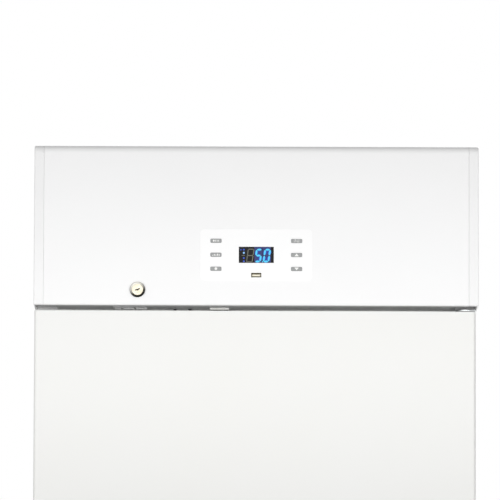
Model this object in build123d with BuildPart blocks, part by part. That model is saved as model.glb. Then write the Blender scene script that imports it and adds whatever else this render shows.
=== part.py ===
from build123d import *
from math import cos, radians, sin
import os

os.makedirs("parts", exist_ok=True)

# Millimetres. The front faces -Y, +X is right seen from the front, +Z is up, the floor is z = 0.

# Overall
WIDTH = 600.0
HEIGHT = 2022.0
SHEET = 1.0
FIT = 0.06
SEAT = 0.3

# Header
HEADER_H = 217.0
HEADER_DEPTH = 300.0
HEADER_SHEET = 1.2
HEADER_TOP_R = 10.0
HEADER_BOTTOM_R = 2.5
HEADER_RETURN = 12.0
HEADER_TOP_RETURN = 25.0
END_CAP_W = 13.0
END_CAP_WALL = 2.5
END_CAP_EDGE_R = 1.6
SEAM = 0.2
TRAY_INSET = 31.0
TRAY_WALL = 10.0

# Door
DOOR_GAP = 7.5
DOOR_INSET = 3.0
DOOR_SHIFT = -1.7
DOOR_T = 52.0
DOOR_BOTTOM = 70.0
DOOR_EDGE_R = 3.5
DOOR_LINER_T = 2.0
CAP_FLANGE = 2.0
CAP_PLUG = 12.0
PAD_INSET = 14.0
PAD_H = 18.0
PAD_DRAFT = 12.0
PAD_R = 22.0
GASKET_GAP = 10.0
GASKET_INSET = 14.8
GASKET_W = 14.0
GASKET_LIP_T = 1.5
GASKET_WAIST_T = 2.5
GASKET_WAIST_INSET = 4.0
GASKET_BULB_INSET = 1.0

# Door hinge
HINGE_INSET = 12.4
HINGE_SETBACK = 30.0
HINGE_PIN_R = 4.0
HINGE_PLATE = 3.0
HINGE_LUG_W = 27.0
HINGE_FLANGE_W = 58.5
LOWER_PLATE_DROP = 8.0
HINGE_FLANGE_H = 14.0
BUSH_R = 6.5
BUSH_DEPTH = 11.0
BUSH_COLLAR = 2.0
BUSH_FLOOR = 1.0
LOWER_PLATE_T = 4.0
LOWER_FLANGE_H = 18.0

# Door grip
GRIP_DROP = 737.5
GRIP_H = 150.0
GRIP_W = 30.0
GRIP_DEPTH = 34.0
GRIP_WALL = 2.0

# Cabinet
CABINET_INSET = 2.0
CABINET_D = 548.0
CABINET_BOTTOM = 30.0
CABINET_EDGE_R = 1.5
WALL = 48.0
TOP_WALL = 50.0
BACK_WALL = 73.0
LINER_T = 2.0
SILL_Z = 120.0
FLOOR_SHEET = 2.0

# Machine bay
BAY_DEPTH = 235.0
BAY_KNEE_Z = 150.0
BAY_TOP = 245.0
BAY_SLOPE = 55.0
BAY_SIDE = 2.0
BAY_WALL = 57.0
STEP_SLOPE = 100.0
STEP_TOP = 292.0

# Shelves
SHELF_FIRST = 340.0
TOP_SHELF_ROOM = 307.0
SHELF_COUNT = 5
GLASS_T = 4.0
LEDGE_SHORT = 10.0
TRIM_SIDE_GAP = 2.0
SHELF_FRONT_GAP = 30.0
SHELF_BACK_GAP = 27.0
SHELF_SIDE_GAP = 2.0
LEDGE_W = 9.0
LEDGE_H = 8.0
TRIM_LIP = 2.0
TRIM_DEPTH = 14.0

# Cooling unit inside
COVER_SIDE_GAP = 28.0
COVER_DEPTH = 75.0
COVER_TOP_GAP = 17.0
COVER_H = 250.0
COVER_WALL = 3.0
COVER_EDGE_R = 12.0
GRILLE_RINGS = (14.0, 26.0, 38.0, 50.0)
GRILLE_RING_W = 3.0
GRILLE_BAR_W = 4.0
LOUVRE_H = 5.0
LOUVRE_PITCH = 14.0
LOUVRE_COUNT = 7
LOUVRE_MARGIN = 30.0
FAN_SIZE = 120.0
FAN_T = 25.0
FAN_BORE = 114.0
FAN_HUB_R = 23.0
FAN_TIP_R = 54.0
FAN_SHAFT_R = 3.0
FAN_STRUT_W = 6.0
FAN_STRUT_T = 4.0
FAN_SCREW_PITCH = 105.0
FAN_SCREW_R = 2.2
FAN_CLEAR = 1.0
BLADE_COUNT = 7
BLADE_T = 2.0
EVAPORATOR_T = 36.0
EVAPORATOR_SIDE_GAP = 30.0
EVAPORATOR_H = 200.0
FIN_SHARE = 0.7
FIN_PITCH = 20.0
LAMP_W = 160.0
LAMP_D = 34.0
LAMP_H = 12.0
LAMP_EDGE_R = 4.0
LAMP_SETBACK = 70.0
PROBE_R = 4.0
PROBE_L = 60.0
PROBE_INSET = 50.0
PROBE_STANDOFF = 12.0
PROBE_CLIP_W = 14.0
PROBE_CLIP_H = 16.0
PROBE_SHELF = 3
DRAIN_R = 7.0
DRAIN_BORE = 5.0
DRAIN_SETBACK = 20.0

# Compressor and condenser
CAN_X = -40.0
CAN_SETBACK = 105.0
CAN_R = 70.0
CAN_H = 144.0
CAN_BAND = 3.0
CAN_BAND_H = 5.0
CAN_BASE_R = 12.0
CAN_WAIST_R = 2.0
CAN_TOP_R = 28.0
FOOT_PLATE_W = 190.0
FOOT_PLATE_D = 120.0
FOOT_PLATE_T = 3.0
FOOT_PLATE_R = 12.0
GROMMET_INSET = 14.0
GROMMET_H = 16.0
GROMMET_R = 10.0
RELAY_REACH = 34.0
RELAY_ROOT = 50.0
RELAY_W = 48.0
RELAY_LOW = 12.0
RELAY_H = 50.0
RELAY_R = 8.0
DISH_X = -25.0
DISH_R = 14.0
DISH_W = 190.0
DISH_D = 140.0
DISH_H = 28.0
DISH_WALL = 2.0
TUBE_R = 2.5
TUBE_SIDES = 8
DISCHARGE_RISE = 50.0
DISCHARGE_BEND_R = 14.0
DISCHARGE_GAP = 20.0
RUN_COUNT = 12
RUN_TOP_DROP = 365.0
RUN_FIRST = 340.0
RUN_SIDE_GAP = 98.0
STANDOFF = 15.0
WIRE_R = 0.8
WIRE_GAP = 0.1
WIRE_SIDES = 6
WIRE_PITCH = 28.0
GRID_LOW_DROP = 45.0
GRID_TOP_RISE = 33.0
RAIL_H = 12.0
RAIL_LEG_W = 16.0
RAIL_LEG_INSET = 20.0
DRIER_INSET = 10.0
DRIER_SETBACK = 30.0
DRIER_R = 9.0
DRIER_NECK = 25.0
DRIER_CONE = 10.0
DRIER_BODY = 70.0
DRIER_TAIL = 10.0

# Mains inlet
INLET_INSET = 98.0
INLET_W = 50.0
INLET_H = 50.0
INLET_T = 30.0
INLET_SETBACK = 4.0
INLET_EDGE_R = 3.0
INLET_MOUTH_W = 24.4
INLET_MOUTH_H = 16.0
INLET_MOUTH_RISE = 26.0
INLET_MOUTH_DEPTH = 16.0

# Controls, measured from the middle of the header's lower edge
PANEL_Z = 68.6
PANEL_W = 151.0
PANEL_H = 69.5
PANEL_R = 5.5
OVERLAY_T = 0.6
KEY_X = 54.4
KEY_PITCH = 19.0
KEY_W = 14.4
KEY_H = 5.1
KEY_R = 1.0
KEY_CLEAR = 0.3
KEY_TRAVEL = 0.5
KEY_PROUD = 0.4
KEY_STEM = 3.8
KEY_FLANGE = 1.0
KEY_FLANGE_T = 1.2
SWITCH_CAP_W = 6.0
WINDOW_W = 47.2
WINDOW_H = 21.9
USB_W = 13.1
USB_H = 5.5
USB_WALL = 0.4
USB_CORNER_R = 0.8
USB_CLEAR = 0.3
USB_FLOOR = 1.0
TONGUE_T = 2.2
TONGUE_DROP = 0.3
TONGUE_INSET = 1.1
TONGUE_SETBACK = 1.2
USB_DROP = 27.5
BOARD_W = 140.0
BOARD_H = 74.0
BOARD_T = 1.6
BOARD_GAP = 8.0
STUD_R = 2.5
STUD_INSET = 5.0

# Lock
LOCK_INSET = 140.0
LOCK_Z = 21.0
BEZEL_R = 10.5
BEZEL_PROUD = 2.5
BEZEL_EDGE_R = 1.2
BARREL_R = 9.0
BARREL_L = 20.0
PLUG_R = 7.4
PLUG_CLEAR = 0.06
PLUG_SINK = 0.7
PLUG_BACK = 0.5
TAIL_W = 7.0
TAIL_END = 1.0
KEYWAY_DEPTH = 6.0
KEYWAY_TURN = 32.0
KEYWAY_STEPS = ((1.0, -0.4, 5.2, 1.9), (-1.7, 0.7, 4.2, 1.4))
CAM_REACH = 36.0
CAM_HALF = 7.0
CAM_T = 2.5
CAM_GAP = 1.0
CAM_CORNER_R = 3.0
CAM_SLOT_SHORT = 3.0
CAM_SLOT_WIDE = 4.0
CAM_SLOT_CLEAR = 2.0

# Door switch
SWITCH_X = -49.6
SWITCH_W = 26.0
SWITCH_D = 16.0
SWITCH_T = 2.5
SWITCH_EDGE = 0.8
SWITCH_SETBACK = 34.0

# Feet and rollers
FOOT_INSET = 43.0
FOOT_SETBACK = 40.0
FOOT_PAD_R = 20.0
FOOT_PAD_H = 10.0
FOOT_PAD_EDGE = 2.0
FOOT_PAD_FALL = 3.0
FOOT_PAD_NECK = 4.0
STEM_R = 5.0
STEM_TOP = 56.0
BOSS_R = 10.0
BOSS_H = 12.0
STEM_CLEAR = 0.25
STEM_TIP = 1.0
POCKET_CLEAR = 1.0
POCKET_RISE = 4.0
ROLLER_INSET = 48.0
ROLLER_SETBACK = 40.0
ROLLER_R = 13.0
ROLLER_W = 22.0
AXLE_R = 3.0
EAR_T = 3.0
EAR_W = 16.0
EAR_GAP = 1.0
AXLE_HEAD = 2.0
AXLE_HEAD_T = 1.5
ROLLER_EDGE = 1.5

# Plinth
PLINTH_TOP = 56.0
PLINTH_BOTTOM = 12.0
PLINTH_DEPTH = 22.0
PLINTH_WALL = 2.5
PLINTH_INSET = 8.0
PLINTH_EDGE_R = 6.0
SLOT_W = 6.0
SLOT_H = 24.0
SLOT_PITCH = 32.0
SLOT_MARGIN = 45.0

# Places that follow from the sizes
CABINET_W = WIDTH - 2 * CABINET_INSET
DOOR_W = WIDTH - 2 * DOOR_INSET
TRAY_HALF = WIDTH / 2 - TRAY_INSET
LOCK_X = -WIDTH / 2 + LOCK_INSET
CONDENSER_DEPTH = STANDOFF + TUBE_R + 2 * WIRE_R + WIRE_GAP
TOTAL_DEPTH = BEZEL_PROUD + DOOR_T + GASKET_GAP + CABINET_D + CONDENSER_DEPTH
FRONT = -TOTAL_DEPTH / 2 + BEZEL_PROUD
CAB_FRONT = FRONT + DOOR_T + GASKET_GAP
CAB_BACK = CAB_FRONT + CABINET_D
HEADER_Z = HEIGHT - HEADER_H
HEADER_BACK = FRONT + HEADER_DEPTH
HEADER_X = WIDTH / 2 - END_CAP_W
CAB_X = CABINET_W / 2
INNER_X = CAB_X - SHEET
CAB_TOP = HEADER_Z
FLOOR_TOP = CABINET_BOTTOM + FLOOR_SHEET
LINER_X = CAB_X - WALL
LINER_TOP = CAB_TOP - TOP_WALL
LINER_BACK = CAB_BACK - BACK_WALL
ROOM_X = LINER_X - LINER_T
ROOM_BACK = LINER_BACK - LINER_T
DOOR_TOP = HEADER_Z - DOOR_GAP
DOOR_LEFT = DOOR_SHIFT - DOOR_W / 2
DOOR_RIGHT = DOOR_SHIFT + DOOR_W / 2
DOOR_BACK = FRONT + DOOR_T
DOOR_LINER_Y = DOOR_BACK - DOOR_LINER_T
HINGE_X = DOOR_RIGHT - HINGE_INSET
HINGE_Y = FRONT + HINGE_SETBACK
PIN_TOP = (HEADER_Z + DOOR_TOP) / 2 + HINGE_PLATE / 2
LOWER_PLATE_Z = DOOR_BOTTOM - LOWER_PLATE_DROP
GRIP_Z = DOOR_TOP - GRIP_DROP
BAY_FRONT = CAB_BACK - BAY_DEPTH
BAY_SLOPE_Y = BAY_FRONT + BAY_SLOPE
STEP_Y = BAY_FRONT - BAY_WALL
PANEL_MID = HEADER_Z + PANEL_Z
USB_Z = PANEL_MID - USB_DROP
BOARD_Y = FRONT + HEADER_SHEET + BOARD_GAP
LOCK_AXIS_Z = HEADER_Z + LOCK_Z
CAM_Y = FRONT + BARREL_L + CAM_GAP
ROLLER_X = CAB_X - ROLLER_INSET
ROLLER_Y = CAB_BACK - ROLLER_SETBACK
FOOT_X = CAB_X - FOOT_INSET
FOOT_Y = CAB_FRONT + FOOT_SETBACK
PLINTH_HALF = CAB_X - PLINTH_INSET
SHELF_PITCH = (LINER_TOP - TOP_SHELF_ROOM - SHELF_FIRST) / (SHELF_COUNT - 1)
SHELF_Z = [SHELF_FIRST + i * SHELF_PITCH for i in range(SHELF_COUNT)]
SHELF_Y0 = CAB_FRONT + SHELF_FRONT_GAP
SHELF_Y1 = ROOM_BACK - SHELF_BACK_GAP
COVER_Y = ROOM_BACK - COVER_DEPTH
COVER_TOP = LINER_TOP - COVER_TOP_GAP
COVER_BOTTOM = COVER_TOP - COVER_H
COVER_HALF = ROOM_X - COVER_SIDE_GAP
FAN_Z = COVER_TOP - COVER_H / 2
CAN_Y = CAB_BACK - CAN_SETBACK
CAN_Z = FLOOR_TOP + GROMMET_H
DRAIN_Y = ROOM_BACK - DRAIN_SETBACK
CONDENSER_Y = CAB_BACK + STANDOFF
RUN_HALF = CAB_X - RUN_SIDE_GAP
RUN_PITCH = (CAB_TOP - RUN_TOP_DROP - RUN_FIRST) / (RUN_COUNT - 1)
DISCHARGE_X = RUN_HALF + DISCHARGE_GAP

LINER_PROFILE = [
    (CAB_FRONT, SILL_Z),
    (STEP_Y, SILL_Z),
    (STEP_Y + STEP_SLOPE, STEP_TOP),
    (LINER_BACK, STEP_TOP),
    (LINER_BACK, LINER_TOP),
    (CAB_FRONT, LINER_TOP),
]
BAY_PROFILE = [
    (BAY_FRONT, FLOOR_TOP),
    (BAY_FRONT, BAY_KNEE_Z),
    (BAY_SLOPE_Y, BAY_TOP),
    (CAB_BACK, BAY_TOP),
    (CAB_BACK, FLOOR_TOP),
]


def block(x0, x1, y0, y1, z0, z1, mode=Mode.ADD):
    """Add or cut a box between two corners in the part being built."""
    with Locations(((x0 + x1) / 2, (y0 + y1) / 2, (z0 + z1) / 2)):
        Box(x1 - x0, y1 - y0, z1 - z0, mode=mode)


def side_plane(x):
    """Plane across the width at x: sketch x is Y, sketch y is Z, and it faces +X."""
    return Plane.YZ.offset(x)


def front_plane(y):
    """Plane at depth y that faces the front: sketch x is X, sketch y is Z."""
    return Plane.XZ.offset(-y)


def back_plane(y):
    """Plane at depth y that faces the back: sketch x is -X, sketch y is Z."""
    return Plane(origin=(0, y, 0), x_dir=(-1, 0, 0), z_dir=(0, 1, 0))


# Cabinet shell: a folded sheet wrapper whose front flange carries the door seal
with BuildPart() as cabinet_shell:
    block(-CAB_X, CAB_X, CAB_FRONT, CAB_BACK, CABINET_BOTTOM, CAB_TOP)
    fillet(cabinet_shell.edges().filter_by(Axis.Z).group_by(Axis.Y)[0], radius=CABINET_EDGE_R)
    block(-INNER_X, INNER_X, CAB_FRONT + SHEET, CAB_BACK, CABINET_BOTTOM, CAB_TOP - SHEET, Mode.SUBTRACT)
    block(-LINER_X, LINER_X, CAB_FRONT, CAB_FRONT + SHEET, SILL_Z, LINER_TOP, Mode.SUBTRACT)
cabinet_shell.part.label = "cabinet_shell"
export_step(cabinet_shell.part, "parts/cabinet_shell.step")

# Inner liner: a thermoformed tub, stepped over the machine bay, with moulded shelf ledges
with BuildPart() as cabinet_liner:
    with BuildSketch(side_plane(-LINER_X)):
        Polygon(*LINER_PROFILE, align=None)
    extrude(amount=2 * LINER_X)
    with BuildSketch(side_plane(-ROOM_X)):
        Polygon(*LINER_PROFILE, align=None)
        offset(amount=-LINER_T, kind=Kind.INTERSECTION)
    extrude(amount=2 * ROOM_X, mode=Mode.SUBTRACT)
    mouth_top = LINER_TOP - LINER_T
    block(-ROOM_X, ROOM_X, CAB_FRONT, CAB_FRONT + 2 * LINER_T, SILL_Z + LINER_T, mouth_top, Mode.SUBTRACT)
    for shelf_z in SHELF_Z:
        for inner, outer in ((-ROOM_X + LEDGE_W, -ROOM_X), (ROOM_X - LEDGE_W, ROOM_X)):
            low, high = min(inner, outer), max(inner, outer)
            block(low, high, SHELF_Y0 + LEDGE_SHORT, SHELF_Y1 - LEDGE_SHORT, shelf_z - LEDGE_H, shelf_z)
    with Locations((0, DRAIN_Y, STEP_TOP)):
        Cylinder(DRAIN_R, 4 * LINER_T, mode=Mode.SUBTRACT)
cabinet_liner.part.label = "cabinet_liner"
export_step(cabinet_liner.part, "parts/cabinet_liner.step")

# Foamed insulation between shell and liner, recessed over the machine bay
with BuildPart() as cabinet_insulation:
    block(-INNER_X, INNER_X, CAB_FRONT + SHEET, CAB_BACK - SHEET, FLOOR_TOP, CAB_TOP - SHEET)
    with BuildSketch(side_plane(-LINER_X)):
        Polygon(*LINER_PROFILE, align=None)
    extrude(amount=2 * LINER_X, mode=Mode.SUBTRACT)
    with BuildSketch(side_plane(-INNER_X)):
        Polygon(*BAY_PROFILE, align=None)
    extrude(amount=2 * INNER_X, mode=Mode.SUBTRACT)
    with Locations((0, DRAIN_Y, (STEP_TOP + BAY_TOP) / 2)):
        Cylinder(DRAIN_R, STEP_TOP - BAY_TOP + DRAIN_R, mode=Mode.SUBTRACT)
    pocket_h = STEM_TOP + POCKET_RISE - FLOOR_TOP
    for foot_x in (-FOOT_X, FOOT_X):
        with Locations((foot_x, FOOT_Y, FLOOR_TOP + pocket_h / 2)):
            Cylinder(BOSS_R + POCKET_CLEAR, pocket_h, mode=Mode.SUBTRACT)
cabinet_insulation.part.label = "cabinet_insulation"
export_step(cabinet_insulation.part, "parts/cabinet_insulation.step")

# Back panel over the foam, above the machine bay
with BuildPart() as back_panel:
    block(-INNER_X, INNER_X, CAB_BACK - SHEET, CAB_BACK, BAY_TOP, CAB_TOP - SHEET)
back_panel.part.label = "back_panel"
export_step(back_panel.part, "parts/back_panel.step")

# Base frame: floor sheet with bay side plates, foot bosses and roller ears
with BuildPart() as base_frame:
    block(-INNER_X, INNER_X, CAB_FRONT + SHEET, CAB_BACK, CABINET_BOTTOM, FLOOR_TOP)
    for side_x in (-INNER_X, INNER_X - BAY_SIDE):
        with BuildSketch(side_plane(side_x)):
            Polygon(*BAY_PROFILE, align=None)
        extrude(amount=BAY_SIDE)
    for foot_x in (-FOOT_X, FOOT_X):
        with Locations((foot_x, FOOT_Y, FLOOR_TOP)):
            Cylinder(BOSS_R, BOSS_H, align=(Align.CENTER, Align.CENTER, Align.MIN))
        with Locations((foot_x, FOOT_Y, FLOOR_TOP)):
            Cylinder(STEM_R + STEM_CLEAR, 4 * BOSS_H, mode=Mode.SUBTRACT)
    for roller_x in (-ROLLER_X, ROLLER_X):
        for ear_x in (roller_x - ROLLER_W / 2 - EAR_GAP - EAR_T, roller_x + ROLLER_W / 2 + EAR_GAP):
            with BuildSketch(side_plane(ear_x)):
                with Locations((ROLLER_Y, (CABINET_BOTTOM + ROLLER_R) / 2)):
                    Rectangle(EAR_W, CABINET_BOTTOM - ROLLER_R)
                with Locations((ROLLER_Y, ROLLER_R)):
                    Circle(EAR_W / 2)
                    Circle(AXLE_R + FIT, mode=Mode.SUBTRACT)
            extrude(amount=EAR_T)
base_frame.part.label = "base_frame"
export_step(base_frame.part, "parts/base_frame.step")

# Machine bay panel: one bent sheet under the foam
with BuildPart() as machine_bay_panel:
    with BuildSketch(side_plane(-INNER_X + BAY_SIDE)):
        with BuildLine():
            bend = Polyline(*BAY_PROFILE[:4])
            offset(bend, amount=SHEET, side=Side.RIGHT)
        make_face()
    extrude(amount=2 * (INNER_X - BAY_SIDE))
    with Locations((0, DRAIN_Y, BAY_TOP)):
        Cylinder(DRAIN_R, 4 * SHEET, mode=Mode.SUBTRACT)
machine_bay_panel.part.label = "machine_bay_panel"
export_step(machine_bay_panel.part, "parts/machine_bay_panel.step")

# Plinth: moulded channel with air slots under the door
with BuildPart() as plinth_grille:
    block(-PLINTH_HALF, PLINTH_HALF, CAB_FRONT - PLINTH_DEPTH, CAB_FRONT, PLINTH_BOTTOM, PLINTH_TOP)
    fillet(plinth_grille.edges().filter_by(Axis.Z).group_by(Axis.Y)[0], radius=PLINTH_EDGE_R)
    block(
        -PLINTH_HALF + PLINTH_WALL,
        PLINTH_HALF - PLINTH_WALL,
        CAB_FRONT - PLINTH_DEPTH + PLINTH_WALL,
        CAB_FRONT,
        PLINTH_BOTTOM,
        PLINTH_TOP - PLINTH_WALL,
        Mode.SUBTRACT,
    )
    with BuildSketch(front_plane(CAB_FRONT - PLINTH_DEPTH + PLINTH_WALL)):
        with Locations((0, (PLINTH_BOTTOM + PLINTH_TOP) / 2)):
            with GridLocations(SLOT_PITCH, 0, int(2 * (PLINTH_HALF - SLOT_MARGIN) / SLOT_PITCH), 1):
                Rectangle(SLOT_W, SLOT_H)
    extrude(amount=PLINTH_WALL, mode=Mode.SUBTRACT)
plinth_grille.part.label = "plinth_grille"
export_step(plinth_grille.part, "parts/plinth_grille.step")

# Levelling feet: a moulded pad on a stem that screws through the base frame
for foot_name, foot_x in (("foot_left", -FOOT_X), ("foot_right", FOOT_X)):
    with BuildPart() as foot:
        axis_plane = Plane(origin=(foot_x, FOOT_Y, 0), x_dir=(1, 0, 0), z_dir=(0, -1, 0))
        with BuildSketch(axis_plane):
            with BuildLine():
                Polyline(
                    (0, 0),
                    (FOOT_PAD_R - FOOT_PAD_EDGE, 0),
                    (FOOT_PAD_R, FOOT_PAD_EDGE),
                    (FOOT_PAD_R, FOOT_PAD_H - FOOT_PAD_FALL),
                    (FOOT_PAD_R - FOOT_PAD_NECK, FOOT_PAD_H),
                    (STEM_R, FOOT_PAD_H),
                    (STEM_R, STEM_TOP - STEM_TIP),
                    (STEM_R - STEM_TIP, STEM_TOP),
                    (0, STEM_TOP),
                    close=True,
                )
            make_face()
        revolve(axis=Axis((foot_x, FOOT_Y, 0), (0, 0, 1)))
    foot.part.label = foot_name
    export_step(foot.part, f"parts/{foot_name}.step")

# Rear rollers
for roller_name, roller_x in (("roller_left", -ROLLER_X), ("roller_right", ROLLER_X)):
    with BuildPart() as roller:
        with BuildSketch(side_plane(roller_x - ROLLER_W / 2)):
            with Locations((ROLLER_Y, ROLLER_R)):
                Circle(ROLLER_R)
                Circle(AXLE_R + FIT, mode=Mode.SUBTRACT)
        extrude(amount=ROLLER_W)
        chamfer(roller.edges().filter_by(GeomType.CIRCLE).group_by(SortBy.RADIUS)[-1], length=ROLLER_EDGE)
    roller.part.label = roller_name
    export_step(roller.part, f"parts/{roller_name}.step")

# Roller axles with a head at each end
with BuildPart() as roller_axles:
    axle_half = ROLLER_W / 2 + EAR_GAP + EAR_T
    for roller_x in (-ROLLER_X, ROLLER_X):
        with BuildSketch(side_plane(roller_x - axle_half)):
            with Locations((ROLLER_Y, ROLLER_R)):
                Circle(AXLE_R)
        extrude(amount=2 * axle_half)
        for head_x in (roller_x - axle_half - AXLE_HEAD_T, roller_x + axle_half):
            with BuildSketch(side_plane(head_x)):
                with Locations((ROLLER_Y, ROLLER_R)):
                    Circle(AXLE_R + AXLE_HEAD)
            extrude(amount=AXLE_HEAD_T)
roller_axles.part.label = "roller_axles"
export_step(roller_axles.part, "parts/roller_axles.step")


def key_spots():
    """Middles of the six keys as (x, z), left column first, top row first."""
    rows = [PANEL_MID + KEY_PITCH, PANEL_MID, PANEL_MID - KEY_PITCH]
    return [(x, z) for x in (-KEY_X, KEY_X) for z in rows]


def key_outlines(clear):
    """Outlines of the six keys, grown by a clearance, in the sketch being built."""
    with Locations(*key_spots()):
        RectangleRounded(KEY_W + 2 * clear, KEY_H + 2 * clear, KEY_R + clear)


def control_windows():
    """Outlines of the openings for keys, display and socket in the sketch being built."""
    key_outlines(KEY_CLEAR)
    with Locations((0, PANEL_MID)):
        Rectangle(WINDOW_W, WINDOW_H)
    with Locations((0, USB_Z)):
        Rectangle(USB_W + 2 * USB_CLEAR, USB_H + 2 * USB_CLEAR)


# Header front: one bent sheet, with the control openings, the lock hole and weld studs for the board
with BuildPart() as header_front:
    with BuildSketch(side_plane(-HEADER_X + SEAM)):
        with BuildLine():
            fold = FilletPolyline(
                (FRONT + HEADER_RETURN, HEADER_Z),
                (FRONT, HEADER_Z),
                (FRONT, HEIGHT),
                (FRONT + HEADER_TOP_RETURN, HEIGHT),
                radius=[HEADER_BOTTOM_R, HEADER_TOP_R],
            )
            offset(fold, amount=HEADER_SHEET, side=Side.RIGHT)
        make_face()
    extrude(amount=2 * (HEADER_X - SEAM))
    with BuildSketch(front_plane(FRONT + HEADER_SHEET)):
        with Locations((LOCK_X, LOCK_AXIS_Z)):
            Circle(BARREL_R)
        control_windows()
    extrude(amount=HEADER_SHEET, mode=Mode.SUBTRACT)
    with BuildSketch(front_plane(BOARD_Y)):
        with Locations((0, PANEL_MID)):
            with GridLocations(BOARD_W - 2 * STUD_INSET, BOARD_H - 2 * STUD_INSET, 2, 2):
                Circle(STUD_R)
    extrude(amount=BOARD_GAP)
header_front.part.label = "header_front"
export_step(header_front.part, "parts/header_front.step")

# Header end caps: moulded ends, hollow from the inside, notched below in front of the cabinet
for cap_name, cap_x, inner_x in (
    ("header_left_cap", -WIDTH / 2, -WIDTH / 2 + END_CAP_WALL),
    ("header_right_cap", HEADER_X, HEADER_X),
):
    with BuildPart() as end_cap:
        with BuildSketch(side_plane(cap_x)):
            with BuildLine():
                FilletPolyline(
                    (HEADER_BACK, HEADER_Z),
                    (FRONT, HEADER_Z),
                    (FRONT, HEIGHT),
                    (HEADER_BACK, HEIGHT),
                    radius=[HEADER_BOTTOM_R, HEADER_TOP_R],
                )
                Line((HEADER_BACK, HEIGHT), (HEADER_BACK, HEADER_Z))
            make_face()
        extrude(amount=END_CAP_W)
        outer_face = end_cap.faces().sort_by(Axis.X)[0 if cap_x < 0 else -1]
        fillet(outer_face.edges(), radius=END_CAP_EDGE_R)
        wall = END_CAP_WALL
        inner_end = inner_x + END_CAP_W - wall
        notch_top = HEADER_Z + TRAY_WALL
        cap_front, cap_back, cap_top = FRONT + HEADER_TOP_R / 2, HEADER_BACK - wall, HEIGHT - wall
        block(inner_x, inner_end, cap_front, cap_back, notch_top + wall, cap_top, Mode.SUBTRACT)
        block(inner_x, inner_end, CAB_FRONT + wall, cap_back, HEADER_Z + wall, cap_top, Mode.SUBTRACT)
        block(inner_x, inner_end, cap_front, CAB_FRONT, HEADER_Z, notch_top, Mode.SUBTRACT)
    end_cap.part.label = cap_name
    export_step(end_cap.part, f"parts/{cap_name}.step")

# Header tray: the header's floor, which overhangs the door and has the slot for the lock cam
with BuildPart() as header_tray:
    tray_front = FRONT + HEADER_RETURN
    block(-TRAY_HALF, TRAY_HALF, tray_front, CAB_FRONT, HEADER_Z, HEADER_Z + HEADER_SHEET)
    block(-HEADER_X, HEADER_X, CAB_FRONT, HEADER_BACK, HEADER_Z, HEADER_Z + HEADER_SHEET)
    wall_top = HEADER_Z + TRAY_WALL
    block(-TRAY_HALF, TRAY_HALF, tray_front, tray_front + HEADER_SHEET, HEADER_Z, wall_top)
    block(-HEADER_X, HEADER_X, HEADER_BACK - HEADER_SHEET, HEADER_BACK, HEADER_Z, wall_top)
    for wall_x, corner_x in ((-TRAY_HALF, -HEADER_X), (TRAY_HALF - HEADER_SHEET, TRAY_HALF)):
        block(wall_x, wall_x + HEADER_SHEET, tray_front, CAB_FRONT + HEADER_SHEET, HEADER_Z, wall_top)
        corner_end = corner_x + HEADER_X - TRAY_HALF
        block(corner_x, corner_end, CAB_FRONT, CAB_FRONT + HEADER_SHEET, HEADER_Z, wall_top)
    block(
        LOCK_X - CAM_REACH + CAM_SLOT_SHORT,
        LOCK_X + CAM_HALF + CAM_SLOT_WIDE,
        CAM_Y - CAM_SLOT_CLEAR,
        CAM_Y + CAM_T + CAM_SLOT_CLEAR,
        HEADER_Z,
        HEADER_Z + HEADER_SHEET,
        Mode.SUBTRACT,
    )
header_tray.part.label = "header_tray"
export_step(header_tray.part, "parts/header_tray.step")

# Header cover: top and back of the header in one bent sheet
with BuildPart() as header_cover:
    with BuildSketch(side_plane(-HEADER_X)):
        with BuildLine():
            lid_fold = FilletPolyline(
                (FRONT + HEADER_TOP_RETURN, HEIGHT),
                (HEADER_BACK, HEIGHT),
                (HEADER_BACK, HEADER_Z + TRAY_WALL),
                radius=HEADER_BOTTOM_R,
            )
            offset(lid_fold, amount=HEADER_SHEET, side=Side.RIGHT)
        make_face()
    extrude(amount=2 * HEADER_X)
header_cover.part.label = "header_cover"
export_step(header_cover.part, "parts/header_cover.step")

# Control overlay: thin panel on the header front with openings for keys, display and socket
with BuildPart() as control_overlay:
    with BuildSketch(front_plane(FRONT)):
        with Locations((0, PANEL_MID)):
            RectangleRounded(PANEL_W, PANEL_H, PANEL_R)
    extrude(amount=OVERLAY_T)
    with BuildSketch(front_plane(FRONT)):
        control_windows()
    extrude(amount=OVERLAY_T, mode=Mode.SUBTRACT)
control_overlay.part.label = "control_overlay"
export_step(control_overlay.part, "parts/control_overlay.step")

# Keys: caps with a retaining flange behind the header front
for number, (key_x, key_z) in enumerate(key_spots(), start=1):
    key_back = FRONT + HEADER_SHEET + KEY_STEM
    with BuildPart() as key:
        with BuildSketch(front_plane(key_back)):
            with Locations((key_x, key_z)):
                RectangleRounded(KEY_W, KEY_H, KEY_R)
        extrude(amount=key_back - FRONT + OVERLAY_T + KEY_PROUD)
        with BuildSketch(front_plane(FRONT + HEADER_SHEET + SEAT + KEY_FLANGE_T)):
            with Locations((key_x, key_z)):
                Rectangle(KEY_W + 2 * KEY_FLANGE, KEY_H + 2 * KEY_FLANGE)
        extrude(amount=KEY_FLANGE_T)
    key.part.label = f"key_{number}"
    export_step(key.part, f"parts/key_{number}.step")

# Display window, flush with the overlay
with BuildPart() as display_window:
    with BuildSketch(front_plane(FRONT + HEADER_SHEET)):
        with Locations((0, PANEL_MID)):
            Rectangle(WINDOW_W, WINDOW_H)
    extrude(amount=HEADER_SHEET + OVERLAY_T)
display_window.part.label = "display_window"
export_step(display_window.part, "parts/display_window.step")

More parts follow.
